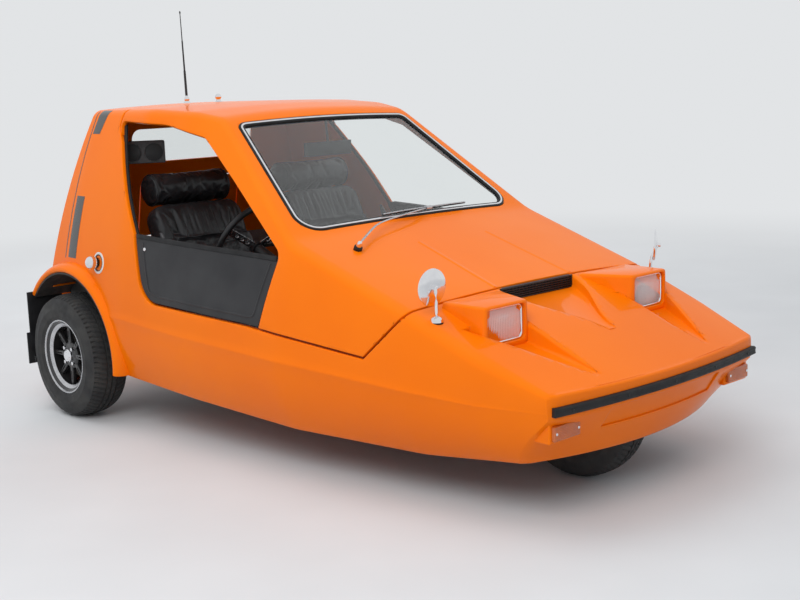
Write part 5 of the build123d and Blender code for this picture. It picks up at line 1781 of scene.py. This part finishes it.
    def build(self) -> None:
        """Make the wheel, put it in place and dress it."""
        place = Matrix.Translation(self.centre)
        if self.outwards < 0:
            place = place @ Matrix.Rotation(math.pi, 4, "Z")
        rim_node = self.node + "_rim" + self.suffix
        tyre_node = self.node + "_tyre" + self.suffix
        casting, lip, shine = self.rim()
        for piece, finish, node in ((self.tyre(), TYRE, tyre_node), (casting, WHEEL_BLACK, rim_node),
                                    (lip, BRUSHED, rim_node), (shine, CHROME, rim_node)):
            piece.data.transform(place)
            dress(piece, finish, self.body, (node,))

    @property
    def suffix(self) -> str:
        """End of the CAD nodes' names."""
        return {Body.REAR_RIGHT: "_right", Body.REAR_LEFT: "_left"}.get(self.body, "")


@dataclass
class RearTrim:
    """Arches, filler, roof fittings, flaps and stripes of the rear."""

    skin: BodySkin
    arch_at: Point2 = (-0.925, 0.250)
    arch_r: float = 0.315
    arch_lip: float = 0.036
    arch_y: float = 0.6985

    STRIPES = (
        ((-0.860, 1.173), (-0.932, 1.173), (-0.943, 1.086), (-0.885, 1.086)),
        ((-0.888, 0.852), (-0.951, 0.852), (-0.964, 0.617), (-0.899, 0.617)),
        ((-0.9510, 1.169), (-0.9570, 1.169), (-0.9930, 0.613), (-0.9870, 0.613)),
    )

    def arch(self, side: Side) -> None:
        """Flared lip round the rear wheel."""
        cx, cz = self.arch_at
        r0, r1, out = self.arch_r, self.arch_r + self.arch_lip, self.arch_y
        profile = [(r0, 0.600), (r0, out - 0.010), (r0 + 0.0025, out - 0.003), (r0 + 0.008, out),
                   (r0 + 0.014, out - 0.001), (r0 + 0.021, out - 0.006), (r0 + 0.028, out - 0.016),
                   (r1 - 0.003, out - 0.028), (r1, out - 0.042), (r1 + 0.001, 0.600)]
        rings = []
        for step in range(61):
            angle = math.radians(-8 + 149 * step / 60)
            rings.append([Vector((cx + r * math.cos(angle), side.value * y, cz + r * math.sin(angle))) for r,
                          y in profile])
        lip = loft("arch_lip_" + side.label, rings)
        soften(lip, 0.0015, 2, 60)
        dress(lip, PAINT, Body.CAR, ("rear_arch_" + side.label,), 50)

    def stripes(self) -> None:
        """Black stripes on both rear quarters."""
        for side in Side:
            for index, outline in enumerate(self.STRIPES):
                tool = side_prism("stripe_shape", dense(outline, 0.03), *side.span(0.3, BESIDE))
                stripe = self.skin.patch(f"stripe_{side.label}_{index}", tool, 0.0007, 0.0005)
                dress(stripe, STRIPE, Body.CAR, ("rear_body",))

    def filler(self) -> None:
        """Fuel filler: white ring, dark recess and chrome cap."""
        spot, normal = self.skin.from_side(Side.RIGHT, -0.716, 0.616)
        ring = turned("filler_ring", [(-0.004, 0.030), (-0.004, 0.041), (0.0012, 0.0405), (0.0020, 0.039),
                                      (0.0020, 0.032), (0.0010, 0.030)], spot, normal, 64)
        cup = turned("filler_cup", [(-0.006, 0), (-0.006, 0.032), (0.0024, 0.032), (0.0030, 0.0305), (0.0024, 0.0290),
                                    (-0.003, 0.0270), (-0.003, 0)], spot, normal, 64)
        cap = turned("filler_cap", [(-0.004, 0), (-0.004, 0.0215), (0.016, 0.0215), (0.019, 0.0235), (0.034, 0.0240),
                                    (0.040, 0.0225), (0.046, 0.0185), (0.050, 0.0110), (0.0515, 0)], spot, normal, 64)
        for piece, finish in ((ring, WHITE), (cup, PLASTIC), (cap, CHROME)):
            dress(piece, finish, Body.CAR, ("fuel_filler",), 40)
        grips = []
        facing = normal.to_track_quat("Z", "Y").to_matrix()
        for cos, sin in unit_circle(16):
            rim = facing @ Vector((cos, sin, 0)) * 0.0235
            grips.append(drum("grip", spot + normal * 0.020 + rim, spot + normal * 0.036 + rim, 0.0016, sides=10))
        grip = joined("filler_grips", grips)
        dress(grip, CHROME, Body.CAR, ("fuel_filler",), 40)

    def roof(self) -> None:
        """Chrome knob and the aerial on its chrome foot."""
        knob = turned("knob", [(-0.002, 0), (-0.002, 0.016), (0.003, 0.016), (0.006, 0.011), (0.014, 0.009),
                               (0.019, 0.0125), (0.025, 0.0135), (0.031, 0.011), (0.035, 0.006), (0.036, 0)],
                      (-0.810, 0, 1.186), (0, 0, 1), 48)
        dress(knob, CHROME, Body.CAR, ("roof_knob",), 50)
        foot = turned("aerial_foot", [(-0.002, 0), (-0.002, 0.0165), (0.004, 0.0165), (0.009, 0.0125),
                                      (0.013, 0.0085), (0.016, 0.0105), (0.021, 0.0112), (0.026, 0.0098),
                                      (0.030, 0.0062), (0.034, 0.0058), (0.034, 0)], (-0.905, -0.088, 1.184),
                      (0, 0, 1), 48)
        dress(foot, CHROME, Body.CAR, ("aerial",), 45)
        lean = Vector((-0.035, 0, 1)).normalized()
        mast = turned("aerial_mast", [(0.008, 0), (0.008, 0.0052), (0.120, 0.0046), (0.124, 0.0036), (0.240, 0.0030),
                                      (0.244, 0.0022), (0.347, 0.0017), (0.351, 0.0030), (0.356, 0.0032), (0.360, 0.0)],
                      (-0.905, -0.088, 1.196), lean, 24)
        dress(mast, PLASTIC, Body.CAR, ("aerial",), 45)

    def flaps(self) -> None:
        """Stepped mudflaps with small bright plates."""
        refined("mudflaps", 0.0015, RUBBER, Body.CAR)
        for side in Side:
            y0, y1 = side.span(0.640, 0.712)
            plate = block("flap_plate_" + side.label, (-1.1738, y0, 0.188), (-1.1722, y1, 0.206))
            soften(plate, 0.0006)
            dress(plate, BRUSHED, Body.CAR, ("mudflaps",))

    def build(self) -> None:
        """Make all of the rear trim."""
        for side in Side:
            self.arch(side)
        self.stripes()
        self.filler()
        self.roof()
        self.flaps()


def puffed(piece: Piece, hold: Callable[[Vector], float], reach: float, pressure: float = 4.0,
           slack: float = 0.05, voxel: float = 0.007) -> None:
    """Plump up a closed form by cloth simulation, held along its seams.

    Args:
        piece: the form, in its own frame.
        hold: how firmly each point is held, from 0 to 1.
        reach: how far a point may move.
        pressure: air pressure inside.
        slack: how much the cloth is larger than the form.
        voxel: size of the cloth's mesh.
    """
    modify(piece, "REMESH", mode="VOXEL", voxel_size=voxel)
    group = piece.vertex_groups.new(name="hold")
    start = [vertex.co.copy() for vertex in piece.data.vertices]
    for vertex in piece.data.vertices:
        group.add([vertex.index], hold(vertex.co), "REPLACE")
    pick(piece)
    cloth = piece.modifiers.new("cloth", "CLOTH")
    settings = cloth.settings
    settings.quality = CLOTH_QUALITY
    settings.vertex_group_mass = group.name
    settings.use_pressure = True
    settings.uniform_pressure_force = pressure
    settings.shrink_min = -slack
    settings.effector_weights.gravity = 0
    for index in range(1, CLOTH_FRAMES + 1):
        bpy.context.scene.frame_set(index)
    bpy.ops.object.modifier_apply(modifier=cloth.name)
    bpy.context.scene.frame_set(1)
    for vertex, first in zip(piece.data.vertices, start):
        move = vertex.co - first
        if move.length > reach:
            vertex.co = first + move.normalized() * reach
    piece.vertex_groups.clear()
    modify(piece, "SUBSURF", levels=1)
    smooth(piece, 80)


@dataclass
class Seat:
    """Reclined seat: pleated back with a gathered yoke, head roll and base cushion."""

    y: float = -0.308
    half: float = 0.200
    lean: float = math.radians(27)
    foot: tuple[float, float] = (-0.367, 0.250)
    pad: float = 0.092
    length: float = 0.616
    roll_r: float = 0.062
    roll_half: float = 0.174
    bolster: float = 0.138
    yoke: tuple[float, float] = (0.455, 0.590)
    seam: float = 0.006

    def frame_matrix(self) -> Matrix:
        """From the back's own axes (thickness, width, length) to the car's."""
        sin, cos = math.sin(self.lean), math.cos(self.lean)
        return Matrix(((cos, 0, -sin, self.foot[0]), (0, 1, 0, self.y), (sin, 0, cos, self.foot[1]), (0, 0, 0, 1)))

    def back_hold(self, point: Vector) -> float:
        """Seams of the back: yoke, bolsters, channels and the flat rear."""
        across, along = abs(point.y), point.z
        if point.x < 0.022 or along < 0.03:
            return 1.0
        if point.x < self.pad - 0.030:
            return 0.35
        if min(abs(along - self.yoke[0]), abs(along - self.yoke[1])) < self.seam and across < self.half - 0.02:
            return 1.0
        if along < self.yoke[0] and abs(across - self.bolster) < self.seam:
            return 1.0
        if along < self.yoke[0] and across < self.bolster and abs((along % 0.058) - 0.029) > 0.0255:
            return 0.9
        return 0.0

    def back(self) -> Piece:
        """Back cushion, shaped in its own axes."""
        top, half, pad = self.length, self.half, self.pad
        outline = rounded([(-half, 0.0), (half, 0.0), (half, top - 0.01), (-half, top - 0.01)],
                          [0.02, 0.02, 0.055, 0.055], 8)
        piece = loft("seat_back_cushion", [[Vector((x, y, z)) for y, z in outline] for x in (0.004, pad - 0.010)])
        soften(piece, 0.020, 4, 60)
        modify(piece, "REMESH", mode="VOXEL", voxel_size=0.007)
        low, high = self.yoke
        for vertex in piece.data.vertices:
            spot = vertex.co
            if spot.x > pad - 0.03:
                across = abs(spot.y)
                if low < spot.z < high and across < half - 0.02:
                    share = math.sin(math.pi * (spot.z - low) / (high - low))
                    spot.x += 0.0075 * share * math.sin(2 * math.pi * spot.y / 0.026 + 2.5 * math.sin(spot.y * 31))
                if spot.z < low and across < self.bolster:
                    spot.x -= 0.006 + 0.004 * abs(math.sin(math.pi * spot.z / 0.058)) ** 0.5
                if spot.z < low and across > self.bolster:
                    spot.x += 0.020 * math.sin(math.pi * min((across - self.bolster) / (half - self.bolster), 1))
        puffed(piece, self.back_hold, 0.024)
        return piece

    def roll(self) -> list[Piece]:
        """Head roll with its end seams."""
        centre = Vector((self.pad / 2 + 0.008, 0, self.length + self.roll_r - 0.004))
        r, half = self.roll_r - 0.003, self.roll_half
        roll = turned("head_roll", [(-half, 0), (-half, r - 0.018), (-half + 0.006, r - 0.006), (-half + 0.016, r),
                                    (half - 0.016, r), (half - 0.006, r - 0.006), (half, r - 0.018), (half, 0)],
                      centre, (0, 1, 0), 48)

        def hold(point: Vector) -> float:
            """End seams, and two seams along the roll."""
            if abs(abs(point.y) - half + 0.014) < 0.006:
                return 1.0
            around = math.atan2(point.z - centre.z, point.x - centre.x)
            return 1.0 if min(abs(around - 0.9), abs(around + 0.75)) < 0.06 else 0.0

        puffed(roll, hold, 0.012, 5.0, 0.05, 0.006)
        cords = []
        for end in (-1, 1):
            ring = [(end * (half - 0.013) + 0.003 * cos, r - 0.001 + 0.003 * sin) for cos, sin in unit_circle(8)]
            cords.append(turned("piping", ring, centre, (0, 1, 0), 48))
        piping = joined("roll_piping", cords)
        smooth(piping, 60)
        return [roll, piping]

    def base(self) -> Piece:
        """Base cushion, shaped in the car's axes about its own middle."""
        rear = self.foot[0] + self.pad / math.cos(self.lean) + 0.004
        rise = 0.082
        outline = rounded([(rear + 0.004, 0.252), (0.030, 0.252), (0.038, 0.336), (-0.002, 0.360),
                           (rear - rise * math.tan(self.lean) + 0.008, 0.328)], [0.006, 0.008, 0.024, 0.040, 0.012])
        piece = side_prism("seat_base_cushion", outline, -self.half + 0.006, self.half - 0.006)
        soften(piece, 0.014, 3, 50)

        def hold(point: Vector) -> float:
            """Bolster seams, channels and the flat underside."""
            if point.z < 0.275:
                return 1.0
            across = abs(point.y)
            if abs(across - self.bolster) < self.seam and point.x < 0.0:
                return 1.0
            if across < self.bolster and point.x < 0.0 and abs((point.x % 0.060) - 0.030) > 0.0265:
                return 0.9
            return 0.0

        puffed(piece, hold, 0.020)
        return piece

    def build(self) -> None:
        """Make one seat and its mirror image, and dress both."""
        back, base = self.back(), self.base()
        rolls = self.roll()
        for piece in (back, *rolls):
            piece.data.transform(self.frame_matrix())
        base.data.transform(Matrix.Translation((0, self.y, 0)))
        for piece, node in ((back, "seat_back"), (rolls[0], "seat_back"), (rolls[1], "seat_back"), (base, "seat_base")):
            other = mirrored(piece, piece.name + "_left")
            for thing, side in ((piece, Side.RIGHT), (other, Side.LEFT)):
                dress(thing, VINYL, Body.CAR, (f"{node}_{side.label}",))


@dataclass
class SteeringWheel:
    """Leather rim, three slotted alloy spokes and the boss."""

    centre: tuple[float, float, float] = (-0.205, -0.305, 0.672)
    tilt: float = math.radians(24)
    radius: float = 0.172
    rim_r: float = 0.011
    slot_r: float = 0.0052
    slot_stretch: float = 1.9

    def build(self) -> None:
        """Make and dress the wheel."""
        axis = Vector((-math.cos(self.tilt), 0, math.sin(self.tilt)))
        side = Vector((0, 1, 0))
        third = axis.cross(side)
        place = Matrix(((side.x, third.x, axis.x, self.centre[0]), (side.y, third.y, axis.y, self.centre[1]),
                        (side.z, third.z, axis.z, self.centre[2]), (0, 0, 0, 1)))
        r = self.rim_r
        circle = [(r * cos, self.radius + r * sin) for cos, sin in unit_circle(20)]
        rim = turned("steering_rim", circle, (0, 0, 0), (0, 0, 1), 120)
        smooth(rim, 60)
        spokes = []
        for degrees in (90, 210, 330):
            spoke = block("steering_spokes", (0.018, -0.013, -0.002), (0.166, 0.013, 0.002))
            for start in (0.046, 0.078, 0.110):
                middle = start + 0.010
                slot = drum("slot", (middle, 0, -0.01), (middle, 0, 0.01), self.slot_r, sides=32)
                slot.data.transform(Matrix.Translation((middle, 0, 0)) @ Matrix.Diagonal((self.slot_stretch, 1, 1, 1))
                                    @ Matrix.Translation((-middle, 0, 0)))
                carve(spoke, slot, Carve.CUT)
            soften(spoke, 0.0006, 1)
            spoke.data.transform(Matrix.Rotation(math.radians(degrees), 4, "Z"))
            spokes.append(spoke)
        arms = joined("steering_spokes", spokes)
        smooth(arms, 30)
        boss = turned("steering_boss", [(-0.015, 0), (-0.015, 0.026), (0.004, 0.026), (0.010, 0.024), (0.013, 0.020),
                                        (0.0125, 0.014), (0.015, 0.010), (0.015, 0)], (0, 0, 0), (0, 0, 1), 48)
        smooth(boss, 40)
        for piece, finish in ((rim, VINYL), (arms, BRUSHED), (boss, PLASTIC)):
            piece.data.transform(place)
            dress(piece, finish, Body.HAND_WHEEL, ("steering_wheel",))


@dataclass
class SpeakerPair:
    """Box with two round speakers behind the driver."""

    place: tuple[float, float, float] = (-0.800, -0.380, 1.010)
    turn: float = math.radians(-32)
    size: tuple[float, float, float] = (0.060, 0.170, 0.086)

    def build(self) -> None:
        """Make and dress the box, its rings and its cones."""
        w, d, h = (value / 2 for value in self.size)
        box = block("speaker_case", (-w, -d, -h), (w - 0.004, d, h))
        soften(box, 0.006, 3)
        face = block("speaker_frame", (w - 0.006, -d + 0.001, -h + 0.001), (w - 0.001, d - 0.001, h - 0.001))
        rings, cones = [face], []
        for y in (-0.042, 0.042):
            carve(face, drum("hole", (w - 0.02, y, 0), (w + 0.02, y, 0), 0.0345, sides=48), Carve.CUT)
            rings.append(turned("ring", [(w - 0.003, 0.0335), (w + 0.0005, 0.0338), (w + 0.0012, 0.0350),
                                         (w + 0.0005, 0.0375), (w - 0.003, 0.0380)], (0, y, 0), (1, 0, 0), 48))
            cones.append(turned("cone", [(w - 0.018, 0), (w - 0.0035, 0.034), (w - 0.006, 0.034), (w - 0.019, 0.014),
                                         (w - 0.013, 0.010), (w - 0.010, 0.004), (w - 0.0095, 0)], (0, y, 0),
                                (1, 0, 0), 48))
        soften(face, 0.001)
        for y in (-d + 0.008, 0.0, d - 0.008):
            for z in (-h + 0.010, h - 0.010):
                rings.append(drum("pin", (w - 0.002, y, z), (w + 0.0008, y, z), 0.0028, sides=16))
        trim = joined("speaker_frame", rings)
        cone = joined("speaker_cones", cones)
        place = Matrix.Translation(self.place) @ Matrix.Rotation(self.turn, 4, "Z")
        for piece, finish in ((box, PLASTIC), (trim, GREY), (cone, CARPET)):
            smooth(piece, 35)
            piece.data.transform(place)
            dress(piece, finish, Body.CAR, ("speaker_box",))


@dataclass
class CabinTrim:
    """Weatherstrips, seat levers and the softened solids of the cabin and tail."""

    skin: BodySkin

    EDGE = ((-0.730, 1.124), (-0.600, 0.922), (-0.484, 0.742), (-0.462, 0.680), (-0.440, 0.600))

    def weatherstrip(self, side: Side) -> None:
        """Rubber along the rear edge of the door opening."""
        line = []
        for x, z in dense(self.EDGE, 0.012, False):
            spot, normal = self.skin.from_side(side, x, z)
            line.append((spot - normal * 0.017, normal))
        strip = swept("door_rubber_" + side.label, line, [(-0.009, -0.004), (0.009, -0.004), (0.009, 0.001),
                                                          (0.005, 0.004), (-0.005, 0.004), (-0.009, 0.001)], False)
        dress(strip, RUBBER, Body.CAR, ("rear_body",), 40)

    def lever(self, side: Side) -> None:
        """Tapered grey lever beside the seat."""
        s = side.value
        low, high = Vector((-0.300, s * 0.532, 0.430)), Vector((-0.452, s * 0.548, 0.735))
        rings = []
        for share, half, thick in ((0.0, 0.026, 0.008), (0.5, 0.020, 0.007), (0.92, 0.012, 0.006), (1.0, 0.007, 0.004)):
            spot = low.lerp(high, share)
            rings.append([spot + Vector((dx * half, dy * thick, 0)) for dx, dy in
                          ((-1, -0.4), (-0.6, -1), (0.6, -1), (1, -0.4), (1, 0.4), (0.6, 1), (-0.6, 1), (-1, 0.4))])
        lever = loft("seat_lever_" + side.label, rings)
        soften(lever, 0.002)
        dress(lever, GREY, Body.CAR, (f"seat_base_{side.label}",), 45)

    def build(self) -> None:
        """Make the trim and soften the plain solids."""
        for side in Side:
            self.weatherstrip(side)
            self.lever(side)
        refined("dash", 0.003, VINYL, Body.CAR)
        refined("engine_cover", 0.006, CARPET, Body.CAR)
        refined("rear_bumper", 0.004, RUBBER, Body.CAR, 3)
        refined("tail_lamps", 0.004, RED, Body.CAR, 3)
        refined("interior_mirror", 0.003, PLASTIC, Body.CANOPY, 3)
        refined("boot_lid", 0.0025, PAINT, Body.LID, 3)


@dataclass
class Studio:
    """Pale floor and world, soft lamps and the camera at the photograph's place."""

    pale: tuple[float, float, float] = (0.76, 0.775, 0.79)
    ambient: float = 0.62
    fade: tuple[float, float] = (2.2, 7.5)
    camera_at: tuple[float, float, float] = (3.489, -3.103, 1.274)
    yaw: float = 136.46
    pitch: float = -10.03
    roll: float = -1.9
    lens: float = 57.33
    lamps: tuple[tuple[str, tuple[float, float, float], float, float], ...] = (
        ("key", (3.0, -4.2, 4.6), 3.5, 190.0),
        ("top", (-1.4, -1.2, 6.0), 4.5, 120.0),
        ("fill", (-4.2, 3.0, 2.4), 2.5, 60.0),
    )

    def seen(self, tree: bpy.types.NodeTree) -> bpy.types.NodeSocket:
        """1 for camera, glossy and transmission rays, otherwise 0."""
        rays = tree.nodes.new("ShaderNodeLightPath")
        total = rays.outputs["Is Camera Ray"]
        for name in ("Is Glossy Ray", "Is Transmission Ray"):
            add = tree.nodes.new("ShaderNodeMath")
            add.operation = "ADD"
            add.use_clamp = True
            tree.links.new(total, add.inputs[0])
            tree.links.new(rays.outputs[name], add.inputs[1])
            total = add.outputs[0]
        return total

    def floor(self) -> None:
        """Wide floor that takes the car's shadow near it and turns into the background far off."""
        deselect()
        bpy.ops.mesh.primitive_plane_add(size=80)
        floor = bpy.context.object
        floor.name = "floor"
        nodes = Nodes("pale_floor")
        nodes.tint(nodes.ramp(nodes.noise(1.5), 0.3, 0.7, 0, 1), (0.62, 0.63, 0.64), (0.66, 0.67, 0.68))
        nodes.shader.inputs["Roughness"].default_value = 0.8
        nodes.shader.inputs["Specular IOR Level"].default_value = 0.2
        tree = nodes.tree
        glow = nodes.add("Emission", Color=(*self.pale, 1), Strength=1.0)
        length = nodes.add("VectorMath", operation="LENGTH")
        nodes.link(nodes.place, length.inputs[0])
        far = nodes.ramp(length.outputs["Value"], *self.fade, 0, 1, "SMOOTHSTEP")
        share = nodes.add("Math", operation="MULTIPLY")
        nodes.link(far, share.inputs[0])
        nodes.link(self.seen(tree), share.inputs[1])
        mix = nodes.add("MixShader")
        nodes.link(share.outputs[0], mix.inputs[0])
        nodes.link(nodes.shader.outputs[0], mix.inputs[1])
        nodes.link(glow.outputs[0], mix.inputs[2])
        nodes.link(mix.outputs[0], tree.nodes["Material Output"].inputs["Surface"])
        floor.data.materials.append(nodes.material)

    def world(self) -> None:
        """Pale room that is a little dimmer as a light than as a background."""
        world = bpy.data.worlds.new("pale_room")
        bpy.context.scene.world = world
        world.use_nodes = True
        tree = world.node_tree
        back = tree.nodes["Background"]
        back.inputs["Color"].default_value = (0.93, 0.96, 1.0, 1)
        back.inputs["Strength"].default_value = self.ambient
        shown = tree.nodes.new("ShaderNodeBackground")
        shown.inputs["Color"].default_value = (*self.pale, 1)
        shown.inputs["Strength"].default_value = 1.0
        mix = tree.nodes.new("ShaderNodeMixShader")
        tree.links.new(self.seen(tree), mix.inputs[0])
        tree.links.new(back.outputs[0], mix.inputs[1])
        tree.links.new(shown.outputs[0], mix.inputs[2])
        tree.links.new(mix.outputs[0], tree.nodes["World Output"].inputs[0])

    def build(self) -> None:
        """Set the floor, world, lamps and camera."""
        self.floor()
        self.world()
        for name, place, size, power in self.lamps:
            lamp = bpy.data.lights.new(name, "AREA")
            lamp.size = size
            lamp.energy = power
            thing = listed(name, lamp)
            thing.location = place
            thing.rotation_euler = (Vector((0, 0, 0.5)) - Vector(place)).to_track_quat("-Z", "Y").to_euler()
            thing.visible_glossy = False
            thing.visible_transmission = False
        yaw, pitch, roll = (math.radians(value) for value in (self.yaw, self.pitch, self.roll))
        ahead = Vector((math.cos(pitch) * math.cos(yaw), math.cos(pitch) * math.sin(yaw), math.sin(pitch)))
        right = ahead.cross(Vector((0, 0, 1))).normalized()
        up = right.cross(ahead)
        right, up = right * math.cos(roll) + up * math.sin(roll), up * math.cos(roll) - right * math.sin(roll)
        lens = bpy.data.cameras.new("camera")
        lens.lens = self.lens
        lens.clip_start = 0.05
        camera = listed("camera", lens)
        x, y, z = self.camera_at
        camera.matrix_world = Matrix(((right.x, up.x, -ahead.x, x), (right.y, up.y, -ahead.y, y),
                                      (right.z, up.z, -ahead.z, z), (0, 0, 0, 1)))
        bpy.context.scene.camera = camera
        bpy.context.scene.view_settings.view_transform = "Standard"


NODE_FINISHES: tuple[tuple[Finish, str], ...] = (
    (INNER_PAINT, "tub"),
    (GLASS, "windscreen_glass rear_window"),
    (RUBBER, "windscreen_seal bumper_strip mudflaps"),
    (MOULDED, "side_screen_right side_screen_left"),
    (FRAME_BLACK, "canopy_hinge wheel_well_right wheel_well_left chassis_frame rear_springs trailing_arms "
                 "front_knuckle front_arm front_spring"),
    (BRUSHED, "wiper"),
    (PLASTIC, "interior_mirror grille rear_bumper dash steering_wheel steering_column speaker_box"),
    (CHROME, "wing_mirror_right wing_mirror_left roof_knob aerial fuel_filler"),
    (LENS, "headlamp_right headlamp_left"),
    (AMBER, "front_indicators"),
    (PAINT, "boot_lid rear_arch_right rear_arch_left canopy_shell nose_panel rear_body"),
    (RED, "tail_lamps"),
    (CARPET, "engine_cover rear_deck"),
    (IRON, "engine_block rear_axle"),
    (VINYL, "seat_back_right seat_back_left seat_base_right seat_base_left"),
    (STEEL, "propshaft exhaust"),
    (WHEEL_BLACK, "rear_rim_right rear_rim_left front_rim"),
    (TYRE, "rear_tyre_right rear_tyre_left front_tyre"),
)


def main() -> None:
    """Build and dress every piece, then set the studio."""
    logging.basicConfig(level=logging.INFO, format="%(name)s: %(message)s")
    for finish, nodes in NODE_FINISHES:
        for node in nodes.split():
            dress(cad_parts[node], finish)
    skin = BodySkin()
    panels = Panels(skin)
    panels.build()
    Glazing(panels).build()
    NoseTrim(skin).build()
    for side in Side:
        Headlamp(side).build()
        WingMirror(side).build()
    Wiper().build()
    RearTrim(skin).build()
    Seat().build()
    SteeringWheel().build()
    SpeakerPair().build()
    CabinTrim(skin).build()
    for side, body in ((Side.RIGHT, Body.REAR_RIGHT), (Side.LEFT, Body.REAR_LEFT)):
        RoadWheel("rear", body, (-0.920, side.value * 0.6505, 0.240), side.value, 0.240, 0.165, 0.145).build()
    RoadWheel("front", Body.FRONT_WHEEL, (1.036, 0, 0.238), -1, 0.238, 0.134, 0.110).build()
    bpy.data.objects.remove(skin.form)
    for mark in (skin.mark_skin, skin.mark_cut):
        bpy.data.materials.remove(mark)
    Studio().build()


if __name__ == "__main__":
    main()
